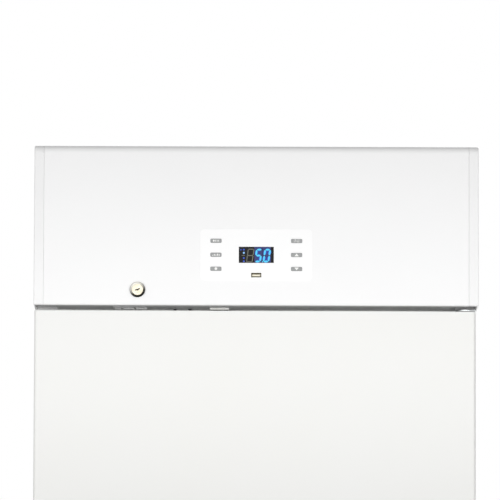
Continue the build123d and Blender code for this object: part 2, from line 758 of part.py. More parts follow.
# Controller board on the weld studs, with the display module and one switch behind each key
with BuildPart() as controller_board:
    with BuildSketch(front_plane(BOARD_Y + BOARD_T)):
        with Locations((0, PANEL_MID)):
            Rectangle(BOARD_W, BOARD_H)
    extrude(amount=BOARD_T)
    with BuildSketch(front_plane(BOARD_Y)):
        with Locations((0, PANEL_MID)):
            Rectangle(WINDOW_W, WINDOW_H)
    extrude(amount=BOARD_GAP)
    with BuildSketch(front_plane(BOARD_Y)):
        with Locations(*key_spots()):
            Rectangle(SWITCH_CAP_W, SWITCH_CAP_W)
    extrude(amount=BOARD_GAP - KEY_STEM - KEY_TRAVEL - SEAT)
controller_board.part.label = "controller_board"
export_step(controller_board.part, "parts/controller_board.step")

# USB socket: folded metal shell with its contact tongue
with BuildPart() as usb_socket:
    with BuildSketch(front_plane(BOARD_Y)):
        with Locations((0, USB_Z)):
            RectangleRounded(USB_W, USB_H, USB_CORNER_R)
    extrude(amount=BOARD_Y - FRONT + OVERLAY_T)
    with BuildSketch(front_plane(BOARD_Y - USB_FLOOR)):
        with Locations((0, USB_Z)):
            RectangleRounded(USB_W - 2 * USB_WALL, USB_H - 2 * USB_WALL, USB_CORNER_R - USB_WALL)
        with Locations((0, USB_Z - TONGUE_DROP)):
            Rectangle(USB_W - 2 * TONGUE_INSET, TONGUE_T, mode=Mode.SUBTRACT)
    extrude(amount=BOARD_Y - USB_FLOOR - FRONT + OVERLAY_T, mode=Mode.SUBTRACT)
    tongue_half = USB_W / 2 - TONGUE_INSET
    tongue_y = FRONT - OVERLAY_T + TONGUE_SETBACK
    tongue_low = USB_Z - TONGUE_DROP - TONGUE_T / 2
    tongue_high = tongue_low + TONGUE_T
    block(-tongue_half, tongue_half, FRONT - OVERLAY_T, tongue_y, tongue_low, tongue_high, Mode.SUBTRACT)
usb_socket.part.label = "usb_socket"
export_step(usb_socket.part, "parts/usb_socket.step")

# Lock barrel with its bezel on the header front
with BuildPart() as lock_barrel:
    with BuildSketch(front_plane(FRONT + BARREL_L)):
        with Locations((LOCK_X, LOCK_AXIS_Z)):
            Circle(BARREL_R)
    extrude(amount=BARREL_L)
    with BuildSketch(front_plane(FRONT)):
        with Locations((LOCK_X, LOCK_AXIS_Z)):
            Circle(BEZEL_R)
    extrude(amount=BEZEL_PROUD)
    fillet(lock_barrel.edges().filter_by(GeomType.CIRCLE).group_by(Axis.Y)[0], radius=BEZEL_EDGE_R)
    with BuildSketch(front_plane(FRONT + BARREL_L)):
        with Locations((LOCK_X, LOCK_AXIS_Z)):
            Circle(PLUG_R + PLUG_CLEAR)
    extrude(amount=BARREL_L + BEZEL_PROUD, mode=Mode.SUBTRACT)
lock_barrel.part.label = "lock_barrel"
export_step(lock_barrel.part, "parts/lock_barrel.step")

# Lock plug with its stepped keyway and a square tail
with BuildPart() as lock_plug:
    plug_back = FRONT + BARREL_L + PLUG_BACK
    tail_back = CAM_Y + CAM_T + TAIL_END
    with BuildSketch(front_plane(plug_back)):
        with Locations((LOCK_X, LOCK_AXIS_Z)):
            Circle(PLUG_R)
    extrude(amount=BARREL_L + PLUG_BACK + BEZEL_PROUD - PLUG_SINK)
    with BuildSketch(front_plane(tail_back)):
        with Locations((LOCK_X, LOCK_AXIS_Z)):
            Rectangle(TAIL_W, TAIL_W)
    extrude(amount=tail_back - plug_back)
    with BuildSketch(front_plane(FRONT + KEYWAY_DEPTH)):
        with Locations(Location((LOCK_X, LOCK_AXIS_Z), KEYWAY_TURN)):
            for step_x, step_z, step_l, step_w in KEYWAY_STEPS:
                with Locations((step_x, step_z)):
                    SlotOverall(step_l, step_w)
    extrude(amount=KEYWAY_DEPTH + BEZEL_PROUD, mode=Mode.SUBTRACT)
lock_plug.part.label = "lock_plug"
export_step(lock_plug.part, "parts/lock_plug.step")

# Lock cam on the plug's square tail: level when unlocked, down into the door when locked
with BuildPart() as lock_cam:
    with BuildSketch(front_plane(CAM_Y + CAM_T)):
        with Locations((LOCK_X, LOCK_AXIS_Z)):
            Circle(CAM_HALF)
        with Locations((LOCK_X - CAM_REACH / 2, LOCK_AXIS_Z)):
            RectangleRounded(CAM_REACH, 2 * CAM_HALF, CAM_CORNER_R)
        with Locations((LOCK_X, LOCK_AXIS_Z)):
            Rectangle(TAIL_W, TAIL_W, mode=Mode.SUBTRACT)
    extrude(amount=CAM_T)
lock_cam.part.label = "lock_cam"
export_step(lock_cam.part, "parts/lock_cam.step")

# Door switch under the header's overhang
with BuildPart() as door_switch:
    switch_y = FRONT + SWITCH_SETBACK
    switch_left, switch_right = SWITCH_X - SWITCH_W / 2, SWITCH_X + SWITCH_W / 2
    block(switch_left, switch_right, switch_y, switch_y + SWITCH_D, HEADER_Z - SWITCH_T, HEADER_Z)
    chamfer(door_switch.faces().sort_by(Axis.Z)[0].edges(), length=SWITCH_EDGE)
door_switch.part.label = "door_switch"
export_step(door_switch.part, "parts/door_switch.step")

# Upper hinge bracket: lug over the door and a flange on the cabinet's front
with BuildPart() as upper_hinge_bracket:
    lug_right = HINGE_X + HINGE_LUG_W / 2
    with BuildSketch(Plane.XY.offset(PIN_TOP - HINGE_PLATE)):
        with Locations((HINGE_X, (HINGE_Y + CAB_FRONT) / 2)):
            Rectangle(HINGE_LUG_W, CAB_FRONT - HINGE_Y)
        with Locations((HINGE_X, HINGE_Y)):
            Circle(HINGE_LUG_W / 2)
    extrude(amount=HINGE_PLATE)
    flange_z = PIN_TOP - HINGE_FLANGE_H
    block(lug_right - HINGE_FLANGE_W, lug_right, CAB_FRONT - HINGE_PLATE, CAB_FRONT, flange_z, PIN_TOP)
    with Locations((HINGE_X, HINGE_Y, PIN_TOP)):
        Cylinder(HINGE_PIN_R, 3 * HINGE_PLATE, mode=Mode.SUBTRACT)
upper_hinge_bracket.part.label = "upper_hinge_bracket"
export_step(upper_hinge_bracket.part, "parts/upper_hinge_bracket.step")

# Lower hinge bracket: lug under the door, flange on the sill
with BuildPart() as lower_hinge_bracket:
    with BuildSketch(Plane.XY.offset(LOWER_PLATE_Z)):
        with Locations((HINGE_X, (HINGE_Y + CAB_FRONT) / 2)):
            Rectangle(HINGE_LUG_W, CAB_FRONT - HINGE_Y)
        with Locations((HINGE_X, HINGE_Y)):
            Circle(HINGE_LUG_W / 2)
    extrude(amount=LOWER_PLATE_T)
    block(
        lug_right - HINGE_FLANGE_W,
        lug_right,
        CAB_FRONT - HINGE_PLATE,
        CAB_FRONT,
        LOWER_PLATE_Z,
        LOWER_PLATE_Z + LOWER_FLANGE_H,
    )
    with Locations((HINGE_X, HINGE_Y, LOWER_PLATE_Z)):
        Cylinder(HINGE_PIN_R, 4 * HINGE_PLATE, mode=Mode.SUBTRACT)
lower_hinge_bracket.part.label = "lower_hinge_bracket"
export_step(lower_hinge_bracket.part, "parts/lower_hinge_bracket.step")

# Hinge pins, pressed into the brackets
with BuildPart() as hinge_pins:
    upper_low, lower_high = DOOR_TOP - BUSH_DEPTH + BUSH_FLOOR, DOOR_BOTTOM + BUSH_DEPTH - BUSH_FLOOR
    for pin_low, pin_high in ((upper_low, PIN_TOP), (LOWER_PLATE_Z, lower_high)):
        with Locations((HINGE_X, HINGE_Y, (pin_low + pin_high) / 2)):
            Cylinder(HINGE_PIN_R, pin_high - pin_low)
hinge_pins.part.label = "hinge_pins"
export_step(hinge_pins.part, "parts/hinge_pins.step")

# Door skin: front and sides in one bent sheet
with BuildPart() as door_skin:
    with BuildSketch(Plane.XY.offset(DOOR_BOTTOM + CAP_FLANGE)):
        with BuildLine():
            skin_fold = FilletPolyline(
                (DOOR_LEFT, DOOR_LINER_Y),
                (DOOR_LEFT, FRONT),
                (DOOR_RIGHT, FRONT),
                (DOOR_RIGHT, DOOR_LINER_Y),
                radius=DOOR_EDGE_R,
            )
            offset(skin_fold, amount=SHEET, side=Side.LEFT)
        make_face()
    extrude(amount=DOOR_TOP - DOOR_BOTTOM - 2 * CAP_FLANGE)
    grip_low, grip_high = GRIP_Z - GRIP_H / 2, GRIP_Z + GRIP_H / 2
    grip_y = (FRONT + DOOR_LINER_Y) / 2
    block(
        DOOR_LEFT,
        DOOR_LEFT + SHEET,
        grip_y - GRIP_W / 2,
        grip_y + GRIP_W / 2,
        grip_low,
        grip_high,
        Mode.SUBTRACT,
    )
door_skin.part.label = "door_skin"
export_step(door_skin.part, "parts/door_skin.step")

# Door end caps: a flange over the skin's ends and a plug inside it, bored for the hinge bushes
plug_left, plug_right = DOOR_LEFT + SHEET, DOOR_RIGHT - SHEET
with BuildPart() as door_top_cap:
    with BuildSketch(Plane.XY.offset(DOOR_TOP - CAP_FLANGE)):
        with BuildLine():
            FilletPolyline(
                (DOOR_LEFT, DOOR_BACK),
                (DOOR_LEFT, FRONT),
                (DOOR_RIGHT, FRONT),
                (DOOR_RIGHT, DOOR_BACK),
                radius=DOOR_EDGE_R,
            )
            Line((DOOR_RIGHT, DOOR_BACK), (DOOR_LEFT, DOOR_BACK))
        make_face()
    extrude(amount=CAP_FLANGE)
    plug_low = DOOR_TOP - CAP_FLANGE - CAP_PLUG
    block(plug_left, plug_right, FRONT + DOOR_EDGE_R, DOOR_LINER_Y, plug_low, DOOR_TOP - CAP_FLANGE)
    with Locations((HINGE_X, HINGE_Y, DOOR_TOP)):
        Cylinder(BUSH_R, 2 * BUSH_DEPTH, mode=Mode.SUBTRACT)
    block(
        LOCK_X - CAM_REACH + 3,
        LOCK_X + CAM_HALF + CAM_SLOT_CLEAR,
        CAM_Y - CAM_SLOT_CLEAR,
        CAM_Y + CAM_T + CAM_SLOT_CLEAR,
        DOOR_TOP - CAP_PLUG,
        DOOR_TOP,
        Mode.SUBTRACT,
    )
door_top_cap.part.label = "door_top_cap"
export_step(door_top_cap.part, "parts/door_top_cap.step")

with BuildPart() as door_bottom_cap:
    with BuildSketch(Plane.XY.offset(DOOR_BOTTOM)):
        with BuildLine():
            FilletPolyline(
                (DOOR_LEFT, DOOR_BACK),
                (DOOR_LEFT, FRONT),
                (DOOR_RIGHT, FRONT),
                (DOOR_RIGHT, DOOR_BACK),
                radius=DOOR_EDGE_R,
            )
            Line((DOOR_RIGHT, DOOR_BACK), (DOOR_LEFT, DOOR_BACK))
        make_face()
    extrude(amount=CAP_FLANGE)
    plug_high = DOOR_BOTTOM + CAP_FLANGE + CAP_PLUG
    block(plug_left, plug_right, FRONT + DOOR_EDGE_R, DOOR_LINER_Y, DOOR_BOTTOM + CAP_FLANGE, plug_high)
    with Locations((HINGE_X, HINGE_Y, DOOR_BOTTOM)):
        Cylinder(BUSH_R, 2 * BUSH_DEPTH, mode=Mode.SUBTRACT)
door_bottom_cap.part.label = "door_bottom_cap"
export_step(door_bottom_cap.part, "parts/door_bottom_cap.step")

# Hinge bushes: flanged sleeves in the door's ends
with BuildPart() as hinge_bushes:
    for end_z, inward in ((DOOR_TOP, -1), (DOOR_BOTTOM, 1)):
        with Locations((HINGE_X, HINGE_Y, end_z + inward * BUSH_DEPTH / 2)):
            Cylinder(BUSH_R, BUSH_DEPTH)
        collar = PIN_TOP - HINGE_PLATE - DOOR_TOP - SEAT
        if inward > 0:
            collar = DOOR_BOTTOM - LOWER_PLATE_Z - LOWER_PLATE_T - SEAT
        with Locations((HINGE_X, HINGE_Y, end_z - inward * collar / 2)):
            Cylinder(BUSH_R + BUSH_COLLAR, collar)
        with Locations((HINGE_X, HINGE_Y, end_z)):
            Cylinder(HINGE_PIN_R + FIT, 3 * BUSH_DEPTH, mode=Mode.SUBTRACT)
hinge_bushes.part.label = "hinge_bushes"
export_step(hinge_bushes.part, "parts/hinge_bushes.step")


def pad_sketch(shrink):
    """Outline of the door's raised pad, which reaches into the cabinet's mouth."""
    half = ROOM_X - PAD_INSET - shrink
    middle = (SILL_Z + LINER_TOP) / 2
    tall = LINER_TOP - SILL_Z - 2 * (LINER_T + PAD_INSET + shrink)
    with Locations((0, middle)):
        RectangleRounded(2 * half, tall, PAD_R - shrink)


# Door liner: a thermoformed sheet with a raised pad
with BuildPart() as door_liner:
    liner_low, liner_high = DOOR_BOTTOM + CAP_FLANGE, DOOR_TOP - CAP_FLANGE
    block(DOOR_LEFT, DOOR_RIGHT, DOOR_LINER_Y, DOOR_BACK, liner_low, liner_high)
    with BuildSketch(back_plane(DOOR_LINER_Y)):
        pad_sketch(0)
    extrude(amount=PAD_H + DOOR_LINER_T, taper=PAD_DRAFT)
    with BuildSketch(back_plane(DOOR_LINER_Y)):
        pad_sketch(DOOR_LINER_T)
    extrude(amount=PAD_H, taper=PAD_DRAFT, mode=Mode.SUBTRACT)
door_liner.part.label = "door_liner"
export_step(door_liner.part, "parts/door_liner.step")

# Door insulation: foam that fills skin, caps and pad
with BuildPart() as door_insulation:
    with BuildSketch(Plane.XY.offset(DOOR_BOTTOM + CAP_FLANGE)):
        with BuildLine():
            FilletPolyline(
                (plug_left, DOOR_LINER_Y),
                (plug_left, FRONT + SHEET),
                (plug_right, FRONT + SHEET),
                (plug_right, DOOR_LINER_Y),
                radius=DOOR_EDGE_R - SHEET,
            )
            Line((plug_right, DOOR_LINER_Y), (plug_left, DOOR_LINER_Y))
        make_face()
    extrude(amount=DOOR_TOP - DOOR_BOTTOM - 2 * CAP_FLANGE)
    block(plug_left, plug_right, FRONT + SHEET, DOOR_LINER_Y, DOOR_BOTTOM, plug_high, Mode.SUBTRACT)
    block(plug_left, plug_right, FRONT + SHEET, DOOR_LINER_Y, plug_low, DOOR_TOP, Mode.SUBTRACT)
    with BuildSketch(back_plane(DOOR_LINER_Y)):
        pad_sketch(DOOR_LINER_T)
    extrude(amount=PAD_H, taper=PAD_DRAFT)
    block(
        DOOR_LEFT,
        DOOR_LEFT + GRIP_DEPTH,
        grip_y - GRIP_W / 2,
        grip_y + GRIP_W / 2,
        grip_low,
        grip_high,
        Mode.SUBTRACT,
    )
door_insulation.part.label = "door_insulation"
export_step(door_insulation.part, "parts/door_insulation.step")

# Door grip: moulded cup let into the door's free edge
with BuildPart() as door_grip:
    block(
        DOOR_LEFT,
        DOOR_LEFT + GRIP_DEPTH,
        grip_y - GRIP_W / 2,
        grip_y + GRIP_W / 2,
        grip_low,
        grip_high,
    )
    block(
        DOOR_LEFT,
        DOOR_LEFT + GRIP_DEPTH - GRIP_WALL,
        grip_y - GRIP_W / 2 + GRIP_WALL,
        grip_y + GRIP_W / 2 - GRIP_WALL,
        grip_low + GRIP_WALL,
        grip_high - GRIP_WALL,
        Mode.SUBTRACT,
    )
door_grip.part.label = "door_grip"
export_step(door_grip.part, "parts/door_grip.step")


def seal_ring(y0, y1, inset, width):
    """Rectangular ring behind the door, from depth y0 to y1, its outer edge inset from the door's edge."""
    middle = ((DOOR_LEFT + DOOR_RIGHT) / 2, (DOOR_BOTTOM + DOOR_TOP) / 2)
    wide, tall = DOOR_W - 2 * inset, DOOR_TOP - DOOR_BOTTOM - 2 * inset
    with BuildSketch(front_plane(y1)) as ring:
        with Locations(middle):
            Rectangle(wide, tall)
            Rectangle(wide - 2 * width, tall - 2 * width, mode=Mode.SUBTRACT)
    extrude(to_extrude=ring.sketch, amount=y1 - y0)


# Door gasket: base lip, narrow waist and magnet chamber
with BuildPart() as door_gasket:
    waist_y, bulb_y = DOOR_BACK + GASKET_LIP_T, DOOR_BACK + GASKET_LIP_T + GASKET_WAIST_T
    seal_ring(DOOR_BACK, waist_y, GASKET_INSET, GASKET_W)
    seal_ring(waist_y, bulb_y, GASKET_INSET + GASKET_WAIST_INSET, GASKET_W - 2 * GASKET_WAIST_INSET)
    seal_ring(bulb_y, CAB_FRONT - SEAT, GASKET_INSET + GASKET_BULB_INSET, GASKET_W - 2 * GASKET_BULB_INSET)
door_gasket.part.label = "door_gasket"
export_step(door_gasket.part, "parts/door_gasket.step")

# Glass shelves on the liner's ledges
shelf_half = ROOM_X - SHELF_SIDE_GAP
with BuildPart() as shelf_glass:
    for shelf_z in SHELF_Z:
        block(-shelf_half, shelf_half, SHELF_Y0, SHELF_Y1, shelf_z, shelf_z + GLASS_T)
shelf_glass.part.label = "shelf_glass"
export_step(shelf_glass.part, "parts/shelf_glass.step")

# Edge trims: channels that clip over the front and back of each glass
with BuildPart() as shelf_trims:
    trim_half = ROOM_X - LEDGE_W - TRIM_SIDE_GAP
    for shelf_z in SHELF_Z:
        for edge_y, outward in ((SHELF_Y0, -1), (SHELF_Y1, 1)):
            near, far = sorted((edge_y + outward * TRIM_LIP, edge_y - outward * TRIM_DEPTH))
            low, high = shelf_z - TRIM_LIP, shelf_z + GLASS_T + TRIM_LIP
            block(-trim_half, trim_half, near, far, low, high)
        block(-trim_half, trim_half, SHELF_Y0, SHELF_Y1, shelf_z, shelf_z + GLASS_T, Mode.SUBTRACT)
shelf_trims.part.label = "shelf_trims"
export_step(shelf_trims.part, "parts/shelf_trims.step")

# Evaporator cover: moulded hood with a fan grille and air slots
with BuildPart() as evaporator_cover:
    block(-COVER_HALF, COVER_HALF, COVER_Y, ROOM_BACK, COVER_BOTTOM, COVER_TOP)
    fillet(evaporator_cover.edges().filter_by(Axis.Z).group_by(Axis.Y)[0], radius=COVER_EDGE_R)
    wall = COVER_WALL
    block(
        -COVER_HALF + wall,
        COVER_HALF - wall,
        COVER_Y + wall,
        ROOM_BACK,
        COVER_BOTTOM,
        COVER_TOP - wall,
        Mode.SUBTRACT,
    )
    with BuildSketch(front_plane(COVER_Y + wall)):
        with Locations((0, FAN_Z)):
            Circle(FAN_BORE / 2)
            for ring_r in GRILLE_RINGS:
                Circle(ring_r, mode=Mode.SUBTRACT)
                Circle(ring_r - GRILLE_RING_W)
            Circle(GRILLE_RINGS[0], mode=Mode.SUBTRACT)
            for turn in (45, 135):
                with Locations(Location((0, 0), turn)):
                    Rectangle(FAN_BORE + GRILLE_BAR_W, GRILLE_BAR_W, mode=Mode.SUBTRACT)
    extrude(amount=wall, mode=Mode.SUBTRACT)
    louvre_start = FAN_SIZE / 2 + LOUVRE_MARGIN
    louvre_end = COVER_HALF - LOUVRE_MARGIN
    with BuildSketch(front_plane(COVER_Y + wall)):
        with Locations((0, FAN_Z)):
            with GridLocations(louvre_start + louvre_end, LOUVRE_PITCH, 2, LOUVRE_COUNT):
                SlotOverall(louvre_end - louvre_start, LOUVRE_H)
    extrude(amount=wall, mode=Mode.SUBTRACT)
evaporator_cover.part.label = "evaporator_cover"
export_step(evaporator_cover.part, "parts/evaporator_cover.step")

# Evaporator: finned block on the liner's back wall
with BuildPart() as evaporator:
    evap_front = ROOM_BACK - EVAPORATOR_T
    evap_half = COVER_HALF - EVAPORATOR_SIDE_GAP
    fin_depth = FIN_SHARE * EVAPORATOR_T
    evap_low = FAN_Z - EVAPORATOR_H / 2
    block(-evap_half, evap_half, evap_front, ROOM_BACK, evap_low, evap_low + EVAPORATOR_H)
    with BuildSketch(front_plane(evap_front + fin_depth)):
        with Locations((0, FAN_Z)):
            with GridLocations(FIN_PITCH, 0, int(2 * evap_half / FIN_PITCH) - 1, 1):
                Rectangle(0.75 * FIN_PITCH, EVAPORATOR_H)
    extrude(amount=fin_depth, mode=Mode.SUBTRACT)
evaporator.part.label = "evaporator"
export_step(evaporator.part, "parts/evaporator.step")

# Fan frame: square venturi with struts, motor hub and shaft
FAN_FRONT = COVER_Y + COVER_WALL
FAN_BACK = FAN_FRONT + FAN_T
with BuildPart() as fan_frame:
    with BuildSketch(front_plane(FAN_BACK)):
        with Locations((0, FAN_Z)):
            RectangleRounded(FAN_SIZE, FAN_SIZE, 4)
            Circle(FAN_BORE / 2, mode=Mode.SUBTRACT)
            with GridLocations(FAN_SCREW_PITCH, FAN_SCREW_PITCH, 2, 2):
                Circle(FAN_SCREW_R, mode=Mode.SUBTRACT)
    extrude(amount=FAN_T)
    with BuildSketch(front_plane(FAN_BACK)):
        with Locations((0, FAN_Z)):
            Circle(FAN_HUB_R)
            for turn in (45, 135):
                with Locations(Location((0, 0), turn)):
                    Rectangle((FAN_BORE + FAN_SIZE) / 2, FAN_STRUT_W)
    extrude(amount=FAN_STRUT_T)
    with BuildSketch(front_plane(FAN_BACK)):
        with Locations((0, FAN_Z)):
            Circle(FAN_SHAFT_R)
    extrude(amount=FAN_T - FAN_STRUT_T - 2 * FAN_CLEAR)
fan_frame.part.label = "fan_frame"
export_step(fan_frame.part, "parts/fan_frame.step")

# Fan rotor: hub with pitched blades
with BuildPart() as fan_rotor:
    rotor_back = FAN_BACK - FAN_STRUT_T - FAN_CLEAR
    rotor_t = FAN_T - 2 * FAN_STRUT_T - FAN_CLEAR
    blade_mid_y = rotor_back - rotor_t / 2
    for blade in range(BLADE_COUNT):
        turn = 360 * blade / BLADE_COUNT
        outward = (cos(radians(turn)), 0, sin(radians(turn)))
        root = Plane(origin=(0, blade_mid_y, FAN_Z), x_dir=(0, 1, 0), z_dir=outward)
        with BuildSketch(root.offset(FAN_HUB_R - 3)):
            with Locations(Location((0, 0), 48)):
                Rectangle(18, BLADE_T)
        with BuildSketch(root.offset(FAN_TIP_R)):
            with Locations(Location((0, 0), 62)):
                Rectangle(26, BLADE_T)
        loft()
    with BuildSketch(front_plane(rotor_back)):
        with Locations((0, FAN_Z)):
            Circle(FAN_HUB_R)
    extrude(amount=rotor_t)
    with BuildSketch(front_plane(rotor_back)):
        with Locations((0, FAN_Z)):
            Circle(FAN_SHAFT_R + FIT)
    extrude(amount=rotor_t - 2, mode=Mode.SUBTRACT)
fan_rotor.part.label = "fan_rotor"
export_step(fan_rotor.part, "parts/fan_rotor.step")

# Interior light under the liner's ceiling
with BuildPart() as interior_light:
    lamp_top = LINER_TOP - LINER_T
    lamp_y = CAB_FRONT + LAMP_SETBACK
    block(-LAMP_W / 2, LAMP_W / 2, lamp_y, lamp_y + LAMP_D, lamp_top - LAMP_H, lamp_top)
    fillet(interior_light.faces().sort_by(Axis.Z)[0].edges(), radius=LAMP_EDGE_R)
interior_light.part.label = "interior_light"
export_step(interior_light.part, "parts/interior_light.step")

# Temperature probe in a clip on the back wall
with BuildPart() as temperature_probe:
    probe_x, probe_y = ROOM_X - PROBE_INSET, ROOM_BACK - PROBE_STANDOFF
    probe_z = SHELF_Z[PROBE_SHELF] + (GLASS_T + SHELF_PITCH) / 2
    clip_x, clip_z = PROBE_CLIP_W / 2, PROBE_CLIP_H / 2
    with Locations((probe_x, probe_y, probe_z)):
        Cylinder(PROBE_R, PROBE_L)
    fillet(temperature_probe.edges().filter_by(GeomType.CIRCLE).group_by(Axis.Z)[0], radius=PROBE_R - SEAT)
    block(probe_x - clip_x, probe_x + clip_x, probe_y, ROOM_BACK, probe_z - clip_z, probe_z + clip_z)
temperature_probe.part.label = "temperature_probe"
export_step(temperature_probe.part, "parts/temperature_probe.step")

# Drain tube from the liner's step down to the evaporation dish
DISH_Z = CAN_Z + FOOT_PLATE_T + CAN_H
with BuildPart() as drain_tube:
    tube_low, tube_high = DISH_Z + DISH_H / 2, STEP_TOP + LINER_T
    with Locations((0, DRAIN_Y, (tube_low + tube_high) / 2)):
        Cylinder(DRAIN_R, tube_high - tube_low)
        Cylinder(DRAIN_BORE, tube_high - tube_low, mode=Mode.SUBTRACT)
drain_tube.part.label = "drain_tube"
export_step(drain_tube.part, "parts/drain_tube.step")

# Compressor: a drawn steel can with its weld band, on a foot plate
with BuildPart() as compressor:
    plate_top = CAN_Z + FOOT_PLATE_T
    with BuildSketch(Plane.XY.offset(CAN_Z)):
        with Locations((CAN_X, CAN_Y)):
            RectangleRounded(FOOT_PLATE_W, FOOT_PLATE_D, FOOT_PLATE_R)
    extrude(amount=FOOT_PLATE_T)
    can_plane = Plane(origin=(CAN_X, CAN_Y, plate_top), x_dir=(1, 0, 0), z_dir=(0, -1, 0))
    with BuildSketch(can_plane):
        with BuildLine():
            FilletPolyline(
                (0, 0),
                (CAN_R, 0),
                (CAN_R, CAN_H / 2),
                (CAN_R - 2 * CAN_WAIST_R, CAN_H),
                (0, CAN_H),
                radius=[CAN_BASE_R, CAN_WAIST_R, CAN_TOP_R],
            )
            Line((0, CAN_H), (0, 0))
        make_face()
        with Locations(((CAN_R + CAN_BAND) / 2, CAN_H / 2)):
            Rectangle(CAN_R + CAN_BAND, CAN_BAND_H)
    revolve(axis=Axis((CAN_X, CAN_Y, 0), (0, 0, 1)))
compressor.part.label = "compressor"
export_step(compressor.part, "parts/compressor.step")

# Rubber grommets between base frame and foot plate
with BuildPart() as compressor_grommets:
    with Locations((CAN_X, CAN_Y, FLOOR_TOP + GROMMET_H / 2)):
        with GridLocations(FOOT_PLATE_W - 2 * GROMMET_INSET, FOOT_PLATE_D - 2 * GROMMET_INSET, 2, 2):
            Cylinder(GROMMET_R, GROMMET_H)
compressor_grommets.part.label = "compressor_grommets"
export_step(compressor_grommets.part, "parts/compressor_grommets.step")

# Relay cover on the compressor's side
with BuildPart() as relay_cover:
    relay_low = plate_top + RELAY_LOW
    block(
        CAN_X - CAN_R - RELAY_REACH,
        CAN_X - RELAY_ROOT,
        CAN_Y - RELAY_W / 2,
        CAN_Y + RELAY_W / 2,
        relay_low,
        relay_low + RELAY_H,
    )
    fillet(relay_cover.edges().filter_by(Axis.Z).group_by(Axis.X)[0], radius=RELAY_R)
    with Locations((CAN_X, CAN_Y, plate_top)):
        Cylinder(CAN_R + SEAT, 2 * CAN_H, mode=Mode.SUBTRACT)
relay_cover.part.label = "relay_cover"
export_step(relay_cover.part, "parts/relay_cover.step")

# Evaporation dish on the compressor
with BuildPart() as evaporation_tray:
    with BuildSketch(Plane.XY.offset(DISH_Z)):
        with Locations((DISH_X, CAN_Y)):
            RectangleRounded(DISH_W, DISH_D, DISH_R)
    extrude(amount=DISH_H)
    with BuildSketch(Plane.XY.offset(DISH_Z + DISH_WALL)):
        with Locations((DISH_X, CAN_Y)):
            RectangleRounded(DISH_W - 2 * DISH_WALL, DISH_D - 2 * DISH_WALL, DISH_R - DISH_WALL)
    extrude(amount=DISH_H, mode=Mode.SUBTRACT)
evaporation_tray.part.label = "evaporation_tray"
export_step(evaporation_tray.part, "parts/evaporation_tray.step")

# Condenser tube: serpentine behind the back panel
with BuildPart() as condenser_tube:
    with BuildLine():
        for run in range(RUN_COUNT):
            z = RUN_FIRST + run * RUN_PITCH
            start_x = RUN_HALF if run % 2 == 0 else -RUN_HALF
            Line((start_x, CONDENSER_Y, z), (-start_x, CONDENSER_Y, z))
            if run < RUN_COUNT - 1:
                bulge = -start_x + (RUN_PITCH / 2 if start_x < 0 else -RUN_PITCH / 2)
                ThreePointArc(
                    (-start_x, CONDENSER_Y, z),
                    (bulge, CONDENSER_Y, z + RUN_PITCH / 2),
                    (-start_x, CONDENSER_Y, z + RUN_PITCH),
                )
    with BuildSketch(Plane(origin=(RUN_HALF, CONDENSER_Y, RUN_FIRST), x_dir=(0, 1, 0), z_dir=(-1, 0, 0))):
        RegularPolygon(TUBE_R, TUBE_SIDES)
    sweep()
condenser_tube.part.label = "condenser_tube"
export_step(condenser_tube.part, "parts/condenser_tube.step")

# Condenser grid: wires before and behind the tube, joined by rails that stand off the back panel
with BuildPart() as condenser_grid:
    grid_low = RUN_FIRST - GRID_LOW_DROP
    grid_high = RUN_FIRST + (RUN_COUNT - 1) * RUN_PITCH + GRID_TOP_RISE
    wire_step = TUBE_R + WIRE_R + WIRE_GAP
    wire_count = int(2 * RUN_HALF / WIRE_PITCH)
    leg_half = RAIL_LEG_W / 2
    with BuildSketch(Plane.XY.offset(grid_low)):
        for wire_y in (CONDENSER_Y - wire_step, CONDENSER_Y + wire_step):
            with Locations((0, wire_y)):
                with GridLocations(WIRE_PITCH, 0, wire_count, 1):
                    RegularPolygon(WIRE_R, WIRE_SIDES)
    extrude(amount=grid_high + RAIL_H - grid_low)
    for rail_z in (grid_low, grid_high):
        block(-RUN_HALF, RUN_HALF, CONDENSER_Y - wire_step, CONDENSER_Y + wire_step, rail_z, rail_z + RAIL_H)
        for leg_x in (-RUN_HALF + RAIL_LEG_INSET, RUN_HALF - RAIL_LEG_INSET):
            block(leg_x - leg_half, leg_x + leg_half, CAB_BACK, CONDENSER_Y, rail_z, rail_z + RAIL_H)
condenser_grid.part.label = "condenser_grid"
export_step(condenser_grid.part, "parts/condenser_grid.step")

# Discharge tube from the compressor to the condenser's first run
with BuildPart() as discharge_tube:
    stub_x, stub_z = CAN_X + CAN_R + SEAT, plate_top + DISCHARGE_RISE
    with BuildLine():
        FilletPolyline(
            (stub_x, CAN_Y, stub_z),
            (DISCHARGE_X, CAN_Y, stub_z),
            (DISCHARGE_X, CONDENSER_Y, stub_z),
            (DISCHARGE_X, CONDENSER_Y, RUN_FIRST),
            (RUN_HALF, CONDENSER_Y, RUN_FIRST),
            radius=DISCHARGE_BEND_R,
        )
    with BuildSketch(Plane(origin=(stub_x, CAN_Y, stub_z), z_dir=(1, 0, 0))):
        RegularPolygon(TUBE_R, TUBE_SIDES)
    sweep()
discharge_tube.part.label = "discharge_tube"
export_step(discharge_tube.part, "parts/discharge_tube.step")

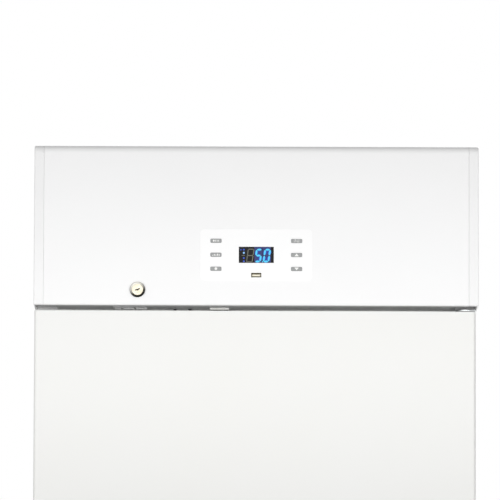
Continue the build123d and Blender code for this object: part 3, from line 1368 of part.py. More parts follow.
# Filter drier in the machine bay, on a neck from the bay's ceiling
with BuildPart() as filter_drier:
    drier_x, drier_y = -RUN_HALF + DRIER_INSET, CAB_BACK - DRIER_SETBACK
    shoulder = -DRIER_NECK - DRIER_CONE
    heel = shoulder - DRIER_BODY
    drier_plane = Plane(origin=(drier_x, drier_y, BAY_TOP - SHEET), x_dir=(1, 0, 0), z_dir=(0, -1, 0))
    with BuildSketch(drier_plane):
        with BuildLine():
            Polyline(
                (0, 0),
                (TUBE_R, 0),
                (TUBE_R, -DRIER_NECK),
                (DRIER_R, shoulder),
                (DRIER_R, heel),
                (TUBE_R, heel - DRIER_CONE),
                (TUBE_R, heel - DRIER_CONE - DRIER_TAIL),
                (0, heel - DRIER_CONE - DRIER_TAIL),
                close=True,
            )
        make_face()
    revolve(axis=Axis((drier_x, drier_y, 0), (0, 0, 1)))
filter_drier.part.label = "filter_drier"
export_step(filter_drier.part, "parts/filter_drier.step")

# Mains inlet: a moulded box with the appliance inlet's recess
with BuildPart() as mains_inlet:
    inlet_x, inlet_z = CAB_X - INLET_INSET, FLOOR_TOP + INLET_MOUTH_RISE
    inlet_back = CAB_BACK - INLET_SETBACK
    mouth_x, mouth_z = INLET_MOUTH_W / 2, INLET_MOUTH_H / 2
    block(
        inlet_x - INLET_W / 2,
        inlet_x + INLET_W / 2,
        inlet_back - INLET_T,
        inlet_back,
        FLOOR_TOP,
        FLOOR_TOP + INLET_H,
    )
    fillet(mains_inlet.edges().filter_by(Axis.Y), radius=INLET_EDGE_R)
    block(
        inlet_x - mouth_x,
        inlet_x + mouth_x,
        inlet_back - INLET_MOUTH_DEPTH,
        inlet_back,
        inlet_z - mouth_z,
        inlet_z + mouth_z,
        Mode.SUBTRACT,
    )
mains_inlet.part.label = "mains_inlet"
export_step(mains_inlet.part, "parts/mains_inlet.step")
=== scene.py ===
import bmesh
import bpy
import math
from mathutils import Matrix, Vector


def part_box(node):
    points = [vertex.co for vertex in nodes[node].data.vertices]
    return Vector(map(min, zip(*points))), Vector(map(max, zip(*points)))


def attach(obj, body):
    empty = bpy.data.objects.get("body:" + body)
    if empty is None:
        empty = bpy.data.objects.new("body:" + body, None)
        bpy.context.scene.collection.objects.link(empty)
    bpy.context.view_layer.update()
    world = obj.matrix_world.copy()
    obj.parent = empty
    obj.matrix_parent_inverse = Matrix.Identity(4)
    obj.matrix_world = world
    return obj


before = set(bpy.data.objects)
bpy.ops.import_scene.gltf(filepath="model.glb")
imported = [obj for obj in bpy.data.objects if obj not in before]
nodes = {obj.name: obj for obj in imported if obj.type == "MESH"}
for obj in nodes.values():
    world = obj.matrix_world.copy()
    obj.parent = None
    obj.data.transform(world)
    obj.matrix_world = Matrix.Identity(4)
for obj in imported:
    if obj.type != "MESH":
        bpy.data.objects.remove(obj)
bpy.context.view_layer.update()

# Cabinet shell
# A wrapper of thin sheet steel, folded from one sheet and filled with foam.
# Its baked white coat gives a satin sheen with a very fine orange peel.
MM_PER_M = 1000


def to_linear(hex_colour):
    """The linear colour of an sRGB hex value."""
    channels = [int(hex_colour[i : i + 2], 16) / 255 for i in (1, 3, 5)]
    linear = [c / 12.92 if c <= 0.04045 else ((c + 0.055) / 1.055) ** 2.4 for c in channels]
    return (*linear, 1.0)


def new_material(name, **constants):
    """A material with the plain values of its shader set, ready for nodes."""
    material = bpy.data.materials.new(name)
    material.use_nodes = True
    shader = material.node_tree.nodes["Principled BSDF"]
    for socket_name, value in constants.items():
        shader.inputs[socket_name.replace("_", " ")].default_value = value
    return material, material.node_tree, shader


def add_node(tree, kind, settings=None, **inputs):
    """A node with its settings, its values, and its links where an input is a socket."""
    node = tree.nodes.new(kind)
    for name, value in (settings or {}).items():
        setattr(node, name, value)
    for name, value in inputs.items():
        socket = node.inputs[name.replace("_", " ")]
        if isinstance(value, bpy.types.NodeSocket):
            tree.links.new(value, socket)
        else:
            socket.default_value = value
    return node


def mottled(tree, shader, light, dark, patch_mm):
    """Base colour that drifts between two near shades over patches of a real size."""
    place = add_node(tree, "ShaderNodeTexCoord")
    spot = place.outputs["Object"]
    noise = add_node(tree, "ShaderNodeTexNoise", Vector=spot, Scale=MM_PER_M / patch_mm, Detail=3.0)
    ramp = add_node(tree, "ShaderNodeValToRGB", Fac=noise.outputs["Fac"])
    ramp.color_ramp.elements[0].position = 0.3
    ramp.color_ramp.elements[0].color = to_linear(dark)
    ramp.color_ramp.elements[1].position = 0.7
    ramp.color_ramp.elements[1].color = to_linear(light)
    tree.links.new(ramp.outputs["Color"], shader.inputs["Base Color"])
    return place


def fine_bump(tree, shader, place, grain_mm, depth_mm):
    """Surface relief with grains of a real size and depth."""
    spot = place.outputs["Object"]
    grain = add_node(tree, "ShaderNodeTexNoise", Vector=spot, Scale=MM_PER_M / grain_mm, Detail=2.0)
    relief = grain.outputs["Fac"]
    bump = add_node(tree, "ShaderNodeBump", Strength=1.0, Distance=depth_mm / MM_PER_M, Height=relief)
    tree.links.new(bump.outputs["Normal"], shader.inputs["Normal"])


def finish_node(name, material, radius_mm=None):
    """Give a CAD node its material and, where a radius is given, break its sharp edges by that much."""
    node = nodes[name]
    node.data.materials.clear()
    node.data.materials.append(material)
    if radius_mm:
        weld = node.modifiers.new("weld", "WELD")
        weld.merge_threshold = 0.00001
        edge = node.modifiers.new("edge radius", "BEVEL")
        edge.width = radius_mm / MM_PER_M
        edge.segments = 2
        edge.limit_method = "ANGLE"
        edge.angle_limit = math.radians(40)
        edge.harden_normals = True


baked_coat, tree, shader = new_material("white baked coat on sheet steel", Roughness=0.42, IOR=1.48)
place = mottled(tree, shader, "#EFF0EE", "#EDEEEB", patch_mm=160)
fine_bump(tree, shader, place, grain_mm=1.2, depth_mm=0.01)
finish_node("cabinet_shell", baked_coat, radius_mm=0.6)

# Inner liner and door liner
# Thermoformed polystyrene tubs, each drawn over a mould in one piece and held by the foam behind it.
# They are smooth and glossier than the coat, with soft long ripples from the draw.
moulded_liner, tree, shader = new_material("white thermoformed polystyrene", Roughness=0.25, IOR=1.55)
place = mottled(tree, shader, "#F0F2F1", "#ECEEEE", patch_mm=240)
fine_bump(tree, shader, place, grain_mm=60, depth_mm=0.05)
for name in ("cabinet_liner", "door_liner"):
    finish_node(name, moulded_liner)

# Insulation of cabinet and door
# Rigid polyurethane foam, blown between the skins, where it sets and bonds them together.
# It is dull and cream, with a fine cell texture.
foam, tree, shader = new_material("cream rigid polyurethane foam", Roughness=0.9)
place = mottled(tree, shader, "#E8DCB4", "#DCCB98", patch_mm=30)
fine_bump(tree, shader, place, grain_mm=2, depth_mm=0.4)
for name in ("cabinet_insulation", "door_insulation"):
    finish_node(name, foam)

# Back panel, base frame and machine bay panel
# Hot-dip galvanised sheet, bent and left bare, that closes the back and carries the machine bay.
# The crystals that the zinc grows show as pale and dark flakes about 14 mm across.
CRYSTAL_MM = 14
galvanised, tree, shader = new_material("hot-dip galvanised sheet", Metallic=0.85)
place = add_node(tree, "ShaderNodeTexCoord")
spot = place.outputs["Object"]
crystals = add_node(tree, "ShaderNodeTexVoronoi", Vector=spot, Scale=MM_PER_M / CRYSTAL_MM)
tone = add_node(tree, "ShaderNodeValToRGB", Fac=crystals.outputs["Color"])
tone.color_ramp.elements[0].color = to_linear("#9AA0A2")
tone.color_ramp.elements[1].color = to_linear("#C2C7C8")
tree.links.new(tone.outputs["Color"], shader.inputs["Base Color"])
grip = add_node(tree, "ShaderNodeMapRange", Value=crystals.outputs["Distance"], To_Min=0.34, To_Max=0.5)
tree.links.new(grip.outputs["Result"], shader.inputs["Roughness"])
for name in ("back_panel", "base_frame", "machine_bay_panel"):
    finish_node(name, galvanised)

# Plinth, door ends, grip, shelf trims and evaporator cover
# Injection-moulded white ABS parts.
# They look even, with a faint spark-eroded grain.
moulded_abs, tree, shader = new_material("white injection moulded ABS", Roughness=0.38, IOR=1.53)
place = mottled(tree, shader, "#EEEFED", "#EBECEA", patch_mm=120)
fine_bump(tree, shader, place, grain_mm=0.9, depth_mm=0.012)
white_nodes = ["plinth_grille", "door_top_cap", "door_bottom_cap", "door_grip"]
white_nodes += ["shelf_trims", "evaporator_cover"]
for name in white_nodes:
    finish_node(name, moulded_abs, radius_mm=0.5)

# Hinge bushes and door switch
# Natural acetal, moulded: flanged sleeves in the door's ends, and a switch under the header's overhang.
# It looks whiter and waxier than the ABS round it, because a little light goes into it.
acetal, tree, shader = new_material("natural moulded acetal", Roughness=0.3, Subsurface_Weight=0.1)
shader.inputs["Subsurface Radius"].default_value = (0.002, 0.002, 0.002)
mottled(tree, shader, "#FAFAF7", "#F4F4F0", patch_mm=20)
for name in ("hinge_bushes", "door_switch"):
    finish_node(name, acetal)

# Levelling feet, rear rollers, fan, and the black mouldings in the machine bay
# Glass-filled nylon, injection moulded and coloured black in the mass.
# It has a dull skin with a fine grain.
nylon, tree, shader = new_material("black moulded glass-filled nylon", Roughness=0.55)
place = mottled(tree, shader, "#2A2B2C", "#202122", patch_mm=18)
fine_bump(tree, shader, place, grain_mm=0.7, depth_mm=0.03)
black_nodes = ["foot_left", "foot_right", "roller_left", "roller_right", "relay_cover", "mains_inlet"]
black_nodes += ["evaporation_tray", "drain_tube", "fan_frame", "fan_rotor"]
for name in black_nodes:
    finish_node(name, nylon, radius_mm=0.4)

# Hinge brackets, pins, roller axles and lock cam
# Pressed and turned steel with a bright zinc plate, screwed or pressed into what carries it.
# The plate is silvery with small cloudy patches, dulled by handling.
zinc_plate, tree, shader = new_material("bright zinc plated steel", Metallic=1.0, Roughness=0.32)
place = mottled(tree, shader, "#C9CBCB", "#B3B6B7", patch_mm=6)
fine_bump(tree, shader, place, grain_mm=0.5, depth_mm=0.01)
for name in ("upper_hinge_bracket", "lower_hinge_bracket", "hinge_pins", "roller_axles", "lock_cam"):
    finish_node(name, zinc_plate, radius_mm=0.3)

# Door skin
# A bent sheet closed above and below by moulded ends, and bonded to the foam behind it.
# Its baked coat is satin and a slightly warmer white than the header.
warm_coat, tree, shader = new_material("warm white baked coat on sheet steel", Roughness=0.45, IOR=1.48)
place = mottled(tree, shader, "#F0F0EE", "#EFEFEC", patch_mm=200)
fine_bump(tree, shader, place, grain_mm=1.2, depth_mm=0.01)
finish_node("door_skin", warm_coat)

# Door gasket
# Extruded soft PVC with a chamber for its magnet strip, welded at its corners.
# It is a dull pale grey beside the white liner.
soft_pvc, tree, shader = new_material("pale grey extruded soft PVC", Roughness=0.6)
place = mottled(tree, shader, "#D8D9D8", "#CDCECD", patch_mm=40)
fine_bump(tree, shader, place, grain_mm=1.0, depth_mm=0.02)
finish_node("door_gasket", soft_pvc)

# Header front, tray and cover
# Bent sheets that make the box over the door, with the tray as its floor.
# The coat is a cleaner white than the cabinet's, with the same fine orange peel.
header_coat, tree, shader = new_material("clean white baked coat on sheet steel", Roughness=0.4, IOR=1.48)
place = mottled(tree, shader, "#F7F7F7", "#F5F5F5", patch_mm=200)
fine_bump(tree, shader, place, grain_mm=1.2, depth_mm=0.008)
for name in ("header_front", "header_tray", "header_cover"):
    finish_node(name, header_coat)

# Header end caps
# ABS mouldings that close the header's ends, coloured to match the coat.
# They are a shade darker than the sheet.
header_abs, tree, shader = new_material("clean white moulded ABS", Roughness=0.36, IOR=1.53)
place = mottled(tree, shader, "#F4F4F4", "#F1F1F1", patch_mm=120)
fine_bump(tree, shader, place, grain_mm=0.9, depth_mm=0.01)
for name in ("header_left_cap", "header_right_cap"):
    finish_node(name, header_abs, radius_mm=0.4)

# Control overlay
# A thin polyester panel, cut out for keys, display and socket, and stuck to the header front.
# It is whiter than the header, with a fine silk texture.
overlay_film, tree, shader = new_material("white polyester film", Roughness=0.5)
place = mottled(tree, shader, "#FDFDFD", "#FBFBFB", patch_mm=90)
fine_bump(tree, shader, place, grain_mm=0.6, depth_mm=0.006)
finish_node("control_overlay", overlay_film)

# Keys
# Grey moulded ABS caps in the overlay's openings, held by a flange behind the header front.
# Each has a plain sign printed in white ink: dots, bars or an arrowhead.
KEY_COUNT = 6
key_abs, tree, shader = new_material("mid grey moulded ABS", Roughness=0.45)
place = mottled(tree, shader, "#9FA1A1", "#999B9B", patch_mm=8)
fine_bump(tree, shader, place, grain_mm=0.6, depth_mm=0.01)
for number in range(1, KEY_COUNT + 1):
    finish_node(f"key_{number}", key_abs, radius_mm=0.3)
white_ink, tree, shader = new_material("white pad-printed ink", Roughness=0.5)
mottled(tree, shader, "#F4F4F2", "#EDEDEB", patch_mm=3)


def new_object(name, shape, material):
    """An object at the origin from a finished shape."""
    mesh = bpy.data.meshes.new(name)
    shape.to_mesh(mesh)
    shape.free()
    mesh.materials.append(material)
    piece = bpy.data.objects.new(name, mesh)
    bpy.context.scene.collection.objects.link(piece)
    return piece


def flat_shape(name, outline, face_y, thickness, material, body):
    """A thin solid from an outline of (x, z) points, its front face at face_y, riding on a body."""
    shape = bmesh.new()
    corners = [shape.verts.new((x, face_y + thickness, z)) for x, z in outline]
    face = shape.faces.new(corners)
    grown = bmesh.ops.extrude_face_region(shape, geom=[face])
    moved = [v for v in grown["geom"] if isinstance(v, bmesh.types.BMVert)]
    bmesh.ops.translate(shape, verts=moved, vec=(0, -thickness, 0))
    bmesh.ops.recalc_face_normals(shape, faces=shape.faces)
    piece = new_object(name, shape, material)
    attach(piece, body)


def round_outline(x, z, radius, count=24):
    """Points round a circle."""
    turns = [2 * math.pi * i / count for i in range(count)]
    return [(x + radius * math.cos(t), z + radius * math.sin(t)) for t in turns]


def bar_outline(x, z, wide, tall):
    """Corners of an upright bar or a flat one."""
    left, right = x - wide / 2, x + wide / 2
    low, high = z - tall / 2, z + tall / 2
    return [(left, low), (right, low), (right, high), (left, high)]


def small_dot_and_bars(x, z):
    """A dot with three short upright bars to its right."""
    dot_x, dot_r, bar_w, bar_h = -0.0030, 0.0013, 0.0010, 0.0026
    bars = [bar_outline(x + step, z, bar_w, bar_h) for step in (-0.0004, 0.0016, 0.0036)]
    return [round_outline(x + dot_x, z, dot_r)] + bars


def uneven_bars(x, z):
    """Five upright bars of unlike heights on one foot line."""
    foot_z, bar_w, pitch = -0.0014, 0.0013, 0.0022
    heights = (0.0012, 0.0022, 0.0016, 0.0028, 0.0020)
    steps = [(i - len(heights) // 2) * pitch for i in range(len(heights))]
    return [bar_outline(x + step, z + foot_z + tall / 2, bar_w, tall) for step, tall in zip(steps, heights)]


def big_dot(x, z):
    """One dot."""
    dot_r = 0.0019
    return [round_outline(x, z, dot_r)]


def two_sliders(x, z):
    """Two flat bars, each with a knob on it."""
    bar_w, bar_h, bar_z, knob_x, knob_r = 0.0080, 0.0005, 0.0012, 0.0018, 0.0009
    bars = [bar_outline(x, z + step, bar_w, bar_h) for step in (-bar_z, bar_z)]
    knobs = [round_outline(x + side * knob_x, z - side * bar_z, knob_r) for side in (-1, 1)]
    return bars + knobs


ARROW_HALF_W = 0.0030
ARROW_TIP = 0.0019


def arrowhead(x, z, tip):
    """A filled arrowhead, its tip above its middle, or below it where tip is negative."""
    return [[(x - ARROW_HALF_W, z - tip), (x + ARROW_HALF_W, z - tip), (x, z + tip)]]


def up_arrow(x, z):
    """An arrowhead that points up."""
    return arrowhead(x, z, ARROW_TIP)


def down_arrow(x, z):
    """An arrowhead that points down."""
    return arrowhead(x, z, -ARROW_TIP)


INK_T = 0.00006
key_signs = (small_dot_and_bars, uneven_bars, big_dot, two_sliders, up_arrow, down_arrow)
for number, sign in enumerate(key_signs, start=1):
    low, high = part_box(f"key_{number}")
    outlines = sign((low.x + high.x) / 2, (low.z + high.z) / 2)
    for mark, outline in enumerate(outlines, start=1):
        name = f"key_{number}_sign_{mark}"
        flat_shape(name, outline, low.y - INK_T, INK_T, white_ink, f"key_{number}")

# Display
# Smoked acrylic over a light-emitting display: one unlit digit, two lit ones and a column of small lamps.
# The window is near black and polished; the lit bars are sky blue with a deep blue glow round them.
smoked_acrylic, tree, shader = new_material("smoked polished acrylic", Roughness=0.12)
shader.inputs["Specular IOR Level"].default_value = 0.22
mottled(tree, shader, "#141416", "#101012", patch_mm=12)
finish_node("display_window", smoked_acrylic)


def lit_material(name, hex_colour):
    """A lamp colour that shows as written whatever lights it."""
    material, _, shader = new_material(name, Base_Color=(0, 0, 0, 1), Emission_Strength=1.0)
    shader.inputs["Emission Color"].default_value = to_linear(hex_colour)
    return material


lit_segment = lit_material("lit sky blue segment", "#4CD2FF")
lit_halo = lit_material("deep blue glow round the segments", "#0A55D6")
lit_field = lit_material("navy glow behind the digits", "#14246E")
lit_spot = lit_material("pale blue mode lamp", "#8FC8FF")
dim_spot = lit_material("dim blue mode lamp", "#2350C8")
ghost_segment, tree, shader = new_material("unlit grey segment", Roughness=0.3)
mottled(tree, shader, "#6E6E60", "#5E5E52", patch_mm=4)

window_low, window_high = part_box("display_window")
window_x = (window_low.x + window_high.x) / 2
window_z = (window_low.z + window_high.z) / 2
LAYER_T = 0.00004
DIGIT_X = {"5": 0.0029, "0": 0.0142}
DIGIT_DROP = 0.0010
DIGIT_H = 0.0184
DIGIT_W = 0.0090
GHOST_X = -0.0082
GHOST_W = 0.0088
LIT_STROKE = 0.0023
GHOST_STROKE = 0.0012
GLOW_W = 0.0104
GLOW_STROKE = 0.0042
GLOW_RISE = 0.0014
FIELD_W = 0.0108
FIELD_RIM = 0.0008
FIELD_LIFT = 0.00003
GHOST_LIFT = 0.00005
GLOW_LIFT = 0.00006
LIT_LIFT = 0.0001
DIGIT_LEAN = math.tan(math.radians(8))
SEGMENTS = {"5": "afgcd", "0": "abcdef", "8": "abcdefg"}
digit_z = window_z - DIGIT_DROP


def on_window(name, outline, lift, material, thickness=LAYER_T):
    """A thin shape whose front lies by lift before the window's face."""
    flat_shape(name, outline, window_low.y - lift, thickness, material, "cabinet")


def segment_outline(letter, x, z, wide, tall, stroke):
    """One bar of a seven-bar digit, leaned to the right."""
    half_w, half_h, half_s = wide / 2 - stroke / 2, tall / 2 - stroke / 2, stroke / 2
    gap = stroke * 0.12
    if letter in "adg":
        level = {"a": half_h, "g": 0, "d": -half_h}[letter]
        reach = half_w - gap
        points = [(-reach, level), (-reach + half_s, level + half_s), (reach - half_s, level + half_s)]
        points += [(reach, level), (reach - half_s, level - half_s), (-reach + half_s, level - half_s)]
    else:
        side = -half_w if letter in "ef" else half_w
        low, high = (0, half_h) if letter in "fb" else (-half_h, 0)
        low, high = low + gap, high - gap
        points = [(side, low), (side + half_s, low + half_s), (side + half_s, high - half_s)]
        points += [(side, high), (side - half_s, high - half_s), (side - half_s, low + half_s)]
    return [(x + px + pz * DIGIT_LEAN, z + pz) for px, pz in points]


def digit(name, number, x, wide, tall, stroke, material, lift):
    """A seven-bar digit on the window's face."""
    for letter in SEGMENTS[number]:
        outline = segment_outline(letter, x, digit_z, wide, tall, stroke)
        on_window(f"{name}_{letter}", outline, lift, material)


for number, step in DIGIT_X.items():
    digit_x = window_x + step
    field = bar_outline(digit_x, window_z, FIELD_W, window_high.z - window_low.z - FIELD_RIM)
    on_window(f"glow_field_{number}", field, FIELD_LIFT, lit_field, thickness=FIELD_LIFT)
    digit(f"glow_{number}", number, digit_x, GLOW_W, DIGIT_H + GLOW_RISE, GLOW_STROKE, lit_halo, GLOW_LIFT)
    digit(f"digit_{number}", number, digit_x, DIGIT_W, DIGIT_H, LIT_STROKE, lit_segment, LIT_LIFT)
digit("digit_off", "8", window_x + GHOST_X, GHOST_W, DIGIT_H, GHOST_STROKE, ghost_segment, GHOST_LIFT)
POINT_X = 0.0086
POINT_R = 0.0008
point_outline = round_outline(window_x + POINT_X, digit_z - DIGIT_H / 2 + POINT_R, POINT_R, 16)
on_window("decimal_point", point_outline, LIT_LIFT, lit_segment)
COLUMN_X, SIDE_X = -0.0168, -0.0208
mode_lamps = [(COLUMN_X, 0.0070, 0.0012, dim_spot), (COLUMN_X, 0.0026, 0.0013, lit_spot)]
mode_lamps += [(COLUMN_X, -0.0044, 0.0012, dim_spot), (COLUMN_X, -0.0088, 0.0012, dim_spot)]
mode_lamps += [(SIDE_X, 0.0068, 0.0009, dim_spot)]
for number, (lamp_x, lamp_z, lamp_r, lamp_material) in enumerate(mode_lamps, start=1):
    lamp = round_outline(window_x + lamp_x, window_z + lamp_z, lamp_r, 16)
    on_window(f"mode_lamp_{number}", lamp, LIT_LIFT, lamp_material)
DASH_X, DASH_Z = -0.0176, -0.0009
dash = bar_outline(window_x + DASH_X, window_z + DASH_Z, wide=0.0046, tall=0.0008)
on_window("mode_dash", dash, LIT_LIFT, ghost_segment)

# Controller board
# Glass-epoxy laminate on weld studs behind the header front, with a switch behind each key.
# Its solder mask makes it a glossy dark green.
laminate, tree, shader = new_material("green masked glass-epoxy laminate", Roughness=0.35)
mottled(tree, shader, "#1F6B3A", "#1A5E33", patch_mm=10)
finish_node("controller_board", laminate)

# Lock barrel
# A zinc die casting in nickel plate, its bezel against the header front.
# Its colour is painted near black below and to the right and pale above, as a painted reflection.
nickel, tree, shader = new_material("nickel plate with painted reflection", Metallic=1.0, Roughness=0.28)
low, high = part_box("lock_barrel")
# The direction along which the base colour is painted pale, a painted reflection of light from above left.
PAINTED_BRIGHT_SIDE = Vector((-0.4, 0.0, 0.92))
middle = PAINTED_BRIGHT_SIDE.dot((low + high) / 2)
reach = (high.x - low.x) / 2
place = add_node(tree, "ShaderNodeTexCoord")
height = add_node(tree, "ShaderNodeVectorMath", {"operation": "DOT_PRODUCT"})
tree.links.new(place.outputs["Object"], height.inputs[0])
height.inputs[1].default_value = PAINTED_BRIGHT_SIDE
level = height.outputs["Value"]
# The base colour runs from near black to pale along that direction: painted reflection and painted shade,
# not wear.
painted_reflection = add_node(tree, "ShaderNodeMapRange", Value=level, From_Min=middle - reach, From_Max=middle + reach)
ramp = add_node(tree, "ShaderNodeValToRGB", Fac=painted_reflection.outputs["Result"])
ramp.color_ramp.elements[0].position = 0.3
ramp.color_ramp.elements[0].color = to_linear("#24231F")
ramp.color_ramp.elements[1].position = 0.98
ramp.color_ramp.elements[1].color = to_linear("#C9C7BF")
tree.links.new(ramp.outputs["Color"], shader.inputs["Base Color"])
fine_bump(tree, shader, place, grain_mm=0.8, depth_mm=0.01)
finish_node("lock_barrel", nickel)

# Lock plug
# Turned brass with a satin nickel plate, cream in tone, that turns in the barrel.
# Its keyway is broached, and its faces are painted dark brown as the shade inside it.
brass_plug, tree, shader = new_material("satin nickel plated brass", Metallic=1.0, Roughness=0.35)
place = mottled(tree, shader, "#D3CDBA", "#BFB6A3", patch_mm=5)
fine_bump(tree, shader, place, grain_mm=0.4, depth_mm=0.02)
finish_node("lock_plug", brass_plug)
# A dark brown for the keyway's walls and floor: painted shade in the recess.
keyway_painted_shade, tree, shader = new_material("brass with painted keyway shade", Roughness=0.5)
mottled(tree, shader, "#33261A", "#241A11", patch_mm=1)


def second_finish(name, material, is_inside):
    """Give the faces of a CAD node that a test picks a material of their own."""
    mesh = nodes[name].data
    mesh.materials.append(material)
    for face in mesh.polygons:
        if is_inside(face.center):
            face.material_index = len(mesh.materials) - 1


plug_low, plug_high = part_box("lock_plug")
plug_mid = (plug_low + plug_high) / 2
KEYWAY_R = 0.0055
END_SKIN = 0.0001


def in_keyway(spot):
    """Whether a face lies near the plug's axis and on neither of its ends."""
    from_axis = math.hypot(spot.x - plug_mid.x, spot.z - plug_mid.z)
    return from_axis < KEYWAY_R and plug_low.y + END_SKIN < spot.y < plug_high.y - END_SKIN


# The faces inside the keyway take the painted shade.
second_finish("lock_plug", keyway_painted_shade, in_keyway)

# USB socket
# A folded steel shell on the board, round a moulded tongue that carries the contacts.
# The shell's plate is painted a dark olive as the shade in the socket's mouth, and the tongue is cream.
socket_shade_plate, tree, shader = new_material("plated drawn steel darkened by painted shade", Metallic=1.0, Roughness=0.35)
# The dark olive is painted shade, far darker than the bare plate.
mottled(tree, shader, "#77705A", "#5F5947", patch_mm=3)
finish_node("usb_socket", socket_shade_plate)
tongue_plastic, tree, shader = new_material("cream moulded tongue", Roughness=0.4)
mottled(tree, shader, "#FBF6E4", "#F2EBD4", patch_mm=3)
usb_low, usb_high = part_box("usb_socket")
usb_mid = (usb_low + usb_high) / 2
TONGUE_REACH = 0.0055
TONGUE_HALF = 0.0017


def in_tongue(spot):
    """Whether a face belongs to the tongue inside the shell."""
    return abs(spot.x - usb_mid.x) < TONGUE_REACH and abs(spot.z - usb_mid.z) < TONGUE_HALF


second_finish("usb_socket", tongue_plastic, in_tongue)

# Shelves
# Float glass plates with ground edges, which rest on the liner's ledges with trims front and back.
# They are clear, with a faint green tint.
float_glass, tree, shader = new_material("clear float glass", Roughness=0.02, IOR=1.52)
shader.inputs["Transmission Weight"].default_value = 0.95
shader.inputs["Base Color"].default_value = to_linear("#E4F3EC")
place = add_node(tree, "ShaderNodeTexCoord")
fine_bump(tree, shader, place, grain_mm=300, depth_mm=0.05)
finish_node("shelf_glass", float_glass, radius_mm=0.4)

# Evaporator
# A finned aluminium block on the liner's back wall, behind the moulded cover.
# The mill finish is a soft bright grey.
mill_aluminium, tree, shader = new_material("mill finish aluminium", Metallic=1.0, Roughness=0.4)
mottled(tree, shader, "#D5D7D8", "#C4C7C9", patch_mm=12)
finish_node("evaporator", mill_aluminium)

# Interior light
# A moulded acrylic diffuser under the liner's ceiling.
# Its frosted skin is an even, slightly cool white.
diffuser, tree, shader = new_material("frosted white acrylic", Roughness=0.4)
place = mottled(tree, shader, "#F8FAFC", "#F2F5F8", patch_mm=15)
fine_bump(tree, shader, place, grain_mm=0.8, depth_mm=0.02)
finish_node("interior_light", diffuser)

# Temperature probe
# A drawn stainless tube in a clip on the liner's back wall.
# It is bright and smooth.
stainless, tree, shader = new_material("drawn stainless steel", Metallic=1.0, Roughness=0.25)
mottled(tree, shader, "#CFCFCE", "#BDBEBE", patch_mm=3)
finish_node("temperature_probe", stainless)

# Compressor and condenser
# Drawn steel shell, steel tube and wire, dipped and stoved in black enamel.
# The enamel is glossy black, with a faint orange peel.
enamel, tree, shader = new_material("black stoved enamel", Roughness=0.28)
place = mottled(tree, shader, "#1C1C1D", "#151516", patch_mm=25)
fine_bump(tree, shader, place, grain_mm=2.0, depth_mm=0.03)
for name in ("compressor", "condenser_tube", "condenser_grid"):
    finish_node(name, enamel)

# Compressor grommets
# Moulded rubber mounts between the compressor's foot plate and the base frame.
# They are matt black.
grommet_rubber, tree, shader = new_material("black moulded rubber", Roughness=0.8)
mottled(tree, shader, "#1A1A1A", "#121212", patch_mm=6)
finish_node("compressor_grommets", grommet_rubber)

# Discharge tube and filter drier
# Drawn copper tube, bent cold, and a copper can with its ends drawn in.
# Both are a warm brown with brighter patches.
copper, tree, shader = new_material("drawn copper tube", Metallic=1.0, Roughness=0.35)
mottled(tree, shader, "#C98A66", "#A8664A", patch_mm=18)
for name in ("discharge_tube", "filter_drier"):
    finish_node(name, copper)

# Screws
# Small steel screws with a six-sided socket, driven into the sheet from outside.
# They are black oxide under the header tray, and bright zinc plate elsewhere.
black_oxide, tree, shader = new_material("black oxide on steel", Roughness=0.4)
mottled(tree, shader, "#1B1B1C", "#121213", patch_mm=2)


def socket_screw(name, spot, facing, radius, material, body):
    """A pan head with a six-sided socket, its base at spot, turned to face a direction."""
    count, tall, edge = 24, radius * 0.7, radius * 0.25
    socket_r, socket_deep = radius * 0.5, radius * 0.45
    turns = [2 * math.pi * i / count for i in range(count)]
    sixth = math.pi / 3
    six_sided = [math.cos(sixth / 2) / math.cos(t % sixth - sixth / 2) for t in turns]
    rings = [(radius, 0, False), (radius, tall - edge, False), (radius - edge, tall, False)]
    rings += [(socket_r, tall, True), (socket_r, tall - socket_deep, True)]
    shape = bmesh.new()
    turned = facing.to_track_quat("Z", "Y")
    loops = []
    for ring_r, level, is_socket in rings:
        reaches = [ring_r * (k if is_socket else 1) for k in six_sided]
        corners = [Vector((r * math.cos(t), r * math.sin(t), level)) for r, t in zip(reaches, turns)]
        loops.append([shape.verts.new(spot + turned @ corner) for corner in corners])
    for near, far in zip(loops, loops[1:]):
        for i in range(count):
            j = (i + 1) % count
            shape.faces.new((near[i], near[j], far[j], far[i]))
    shape.faces.new(list(reversed(loops[0])))
    shape.faces.new(loops[-1])
    bmesh.ops.recalc_face_normals(shape, faces=shape.faces)
    piece = new_object(name, shape, material)
    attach(piece, body)


TRAY_SCREW_R = 0.0022
TRAY_SCREW_X = (-0.1097, -0.0894)
TRAY_SCREW_IN = 0.0393
tray_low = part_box("header_tray")[0]
down = Vector((0, 0, -1))
for number, x in enumerate(TRAY_SCREW_X, start=1):
    spot = Vector((x, tray_low.y + TRAY_SCREW_IN, tray_low.z))
    socket_screw(f"tray_screw_{number}", spot, down, TRAY_SCREW_R, black_oxide, "cabinet")
SHEET_SCREW_R = 0.0035
COVER_SIDE, COVER_FRONT, COVER_BACK = 0.02, 0.05, 0.03
cover_low, cover_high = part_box("header_cover")
up = Vector((0, 0, 1))
cover_columns = (cover_low.x + COVER_SIDE, cover_high.x - COVER_SIDE)
cover_rows = (cover_low.y + COVER_FRONT, cover_high.y - COVER_BACK)
cover_places = [Vector((x, y, cover_high.z)) for x in cover_columns for y in cover_rows]
for number, spot in enumerate(cover_places, start=1):
    socket_screw(f"cover_screw_{number}", spot, up, SHEET_SCREW_R, zinc_plate, "cabinet")
BACK_ROWS = 5
BACK_SIDE, BACK_END = 0.012, 0.02
back_low, back_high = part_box("back_panel")
back = Vector((0, 1, 0))
row_pitch = (back_high.z - back_low.z - 2 * BACK_END) / (BACK_ROWS - 1)
back_rows = [back_low.z + BACK_END + i * row_pitch for i in range(BACK_ROWS)]
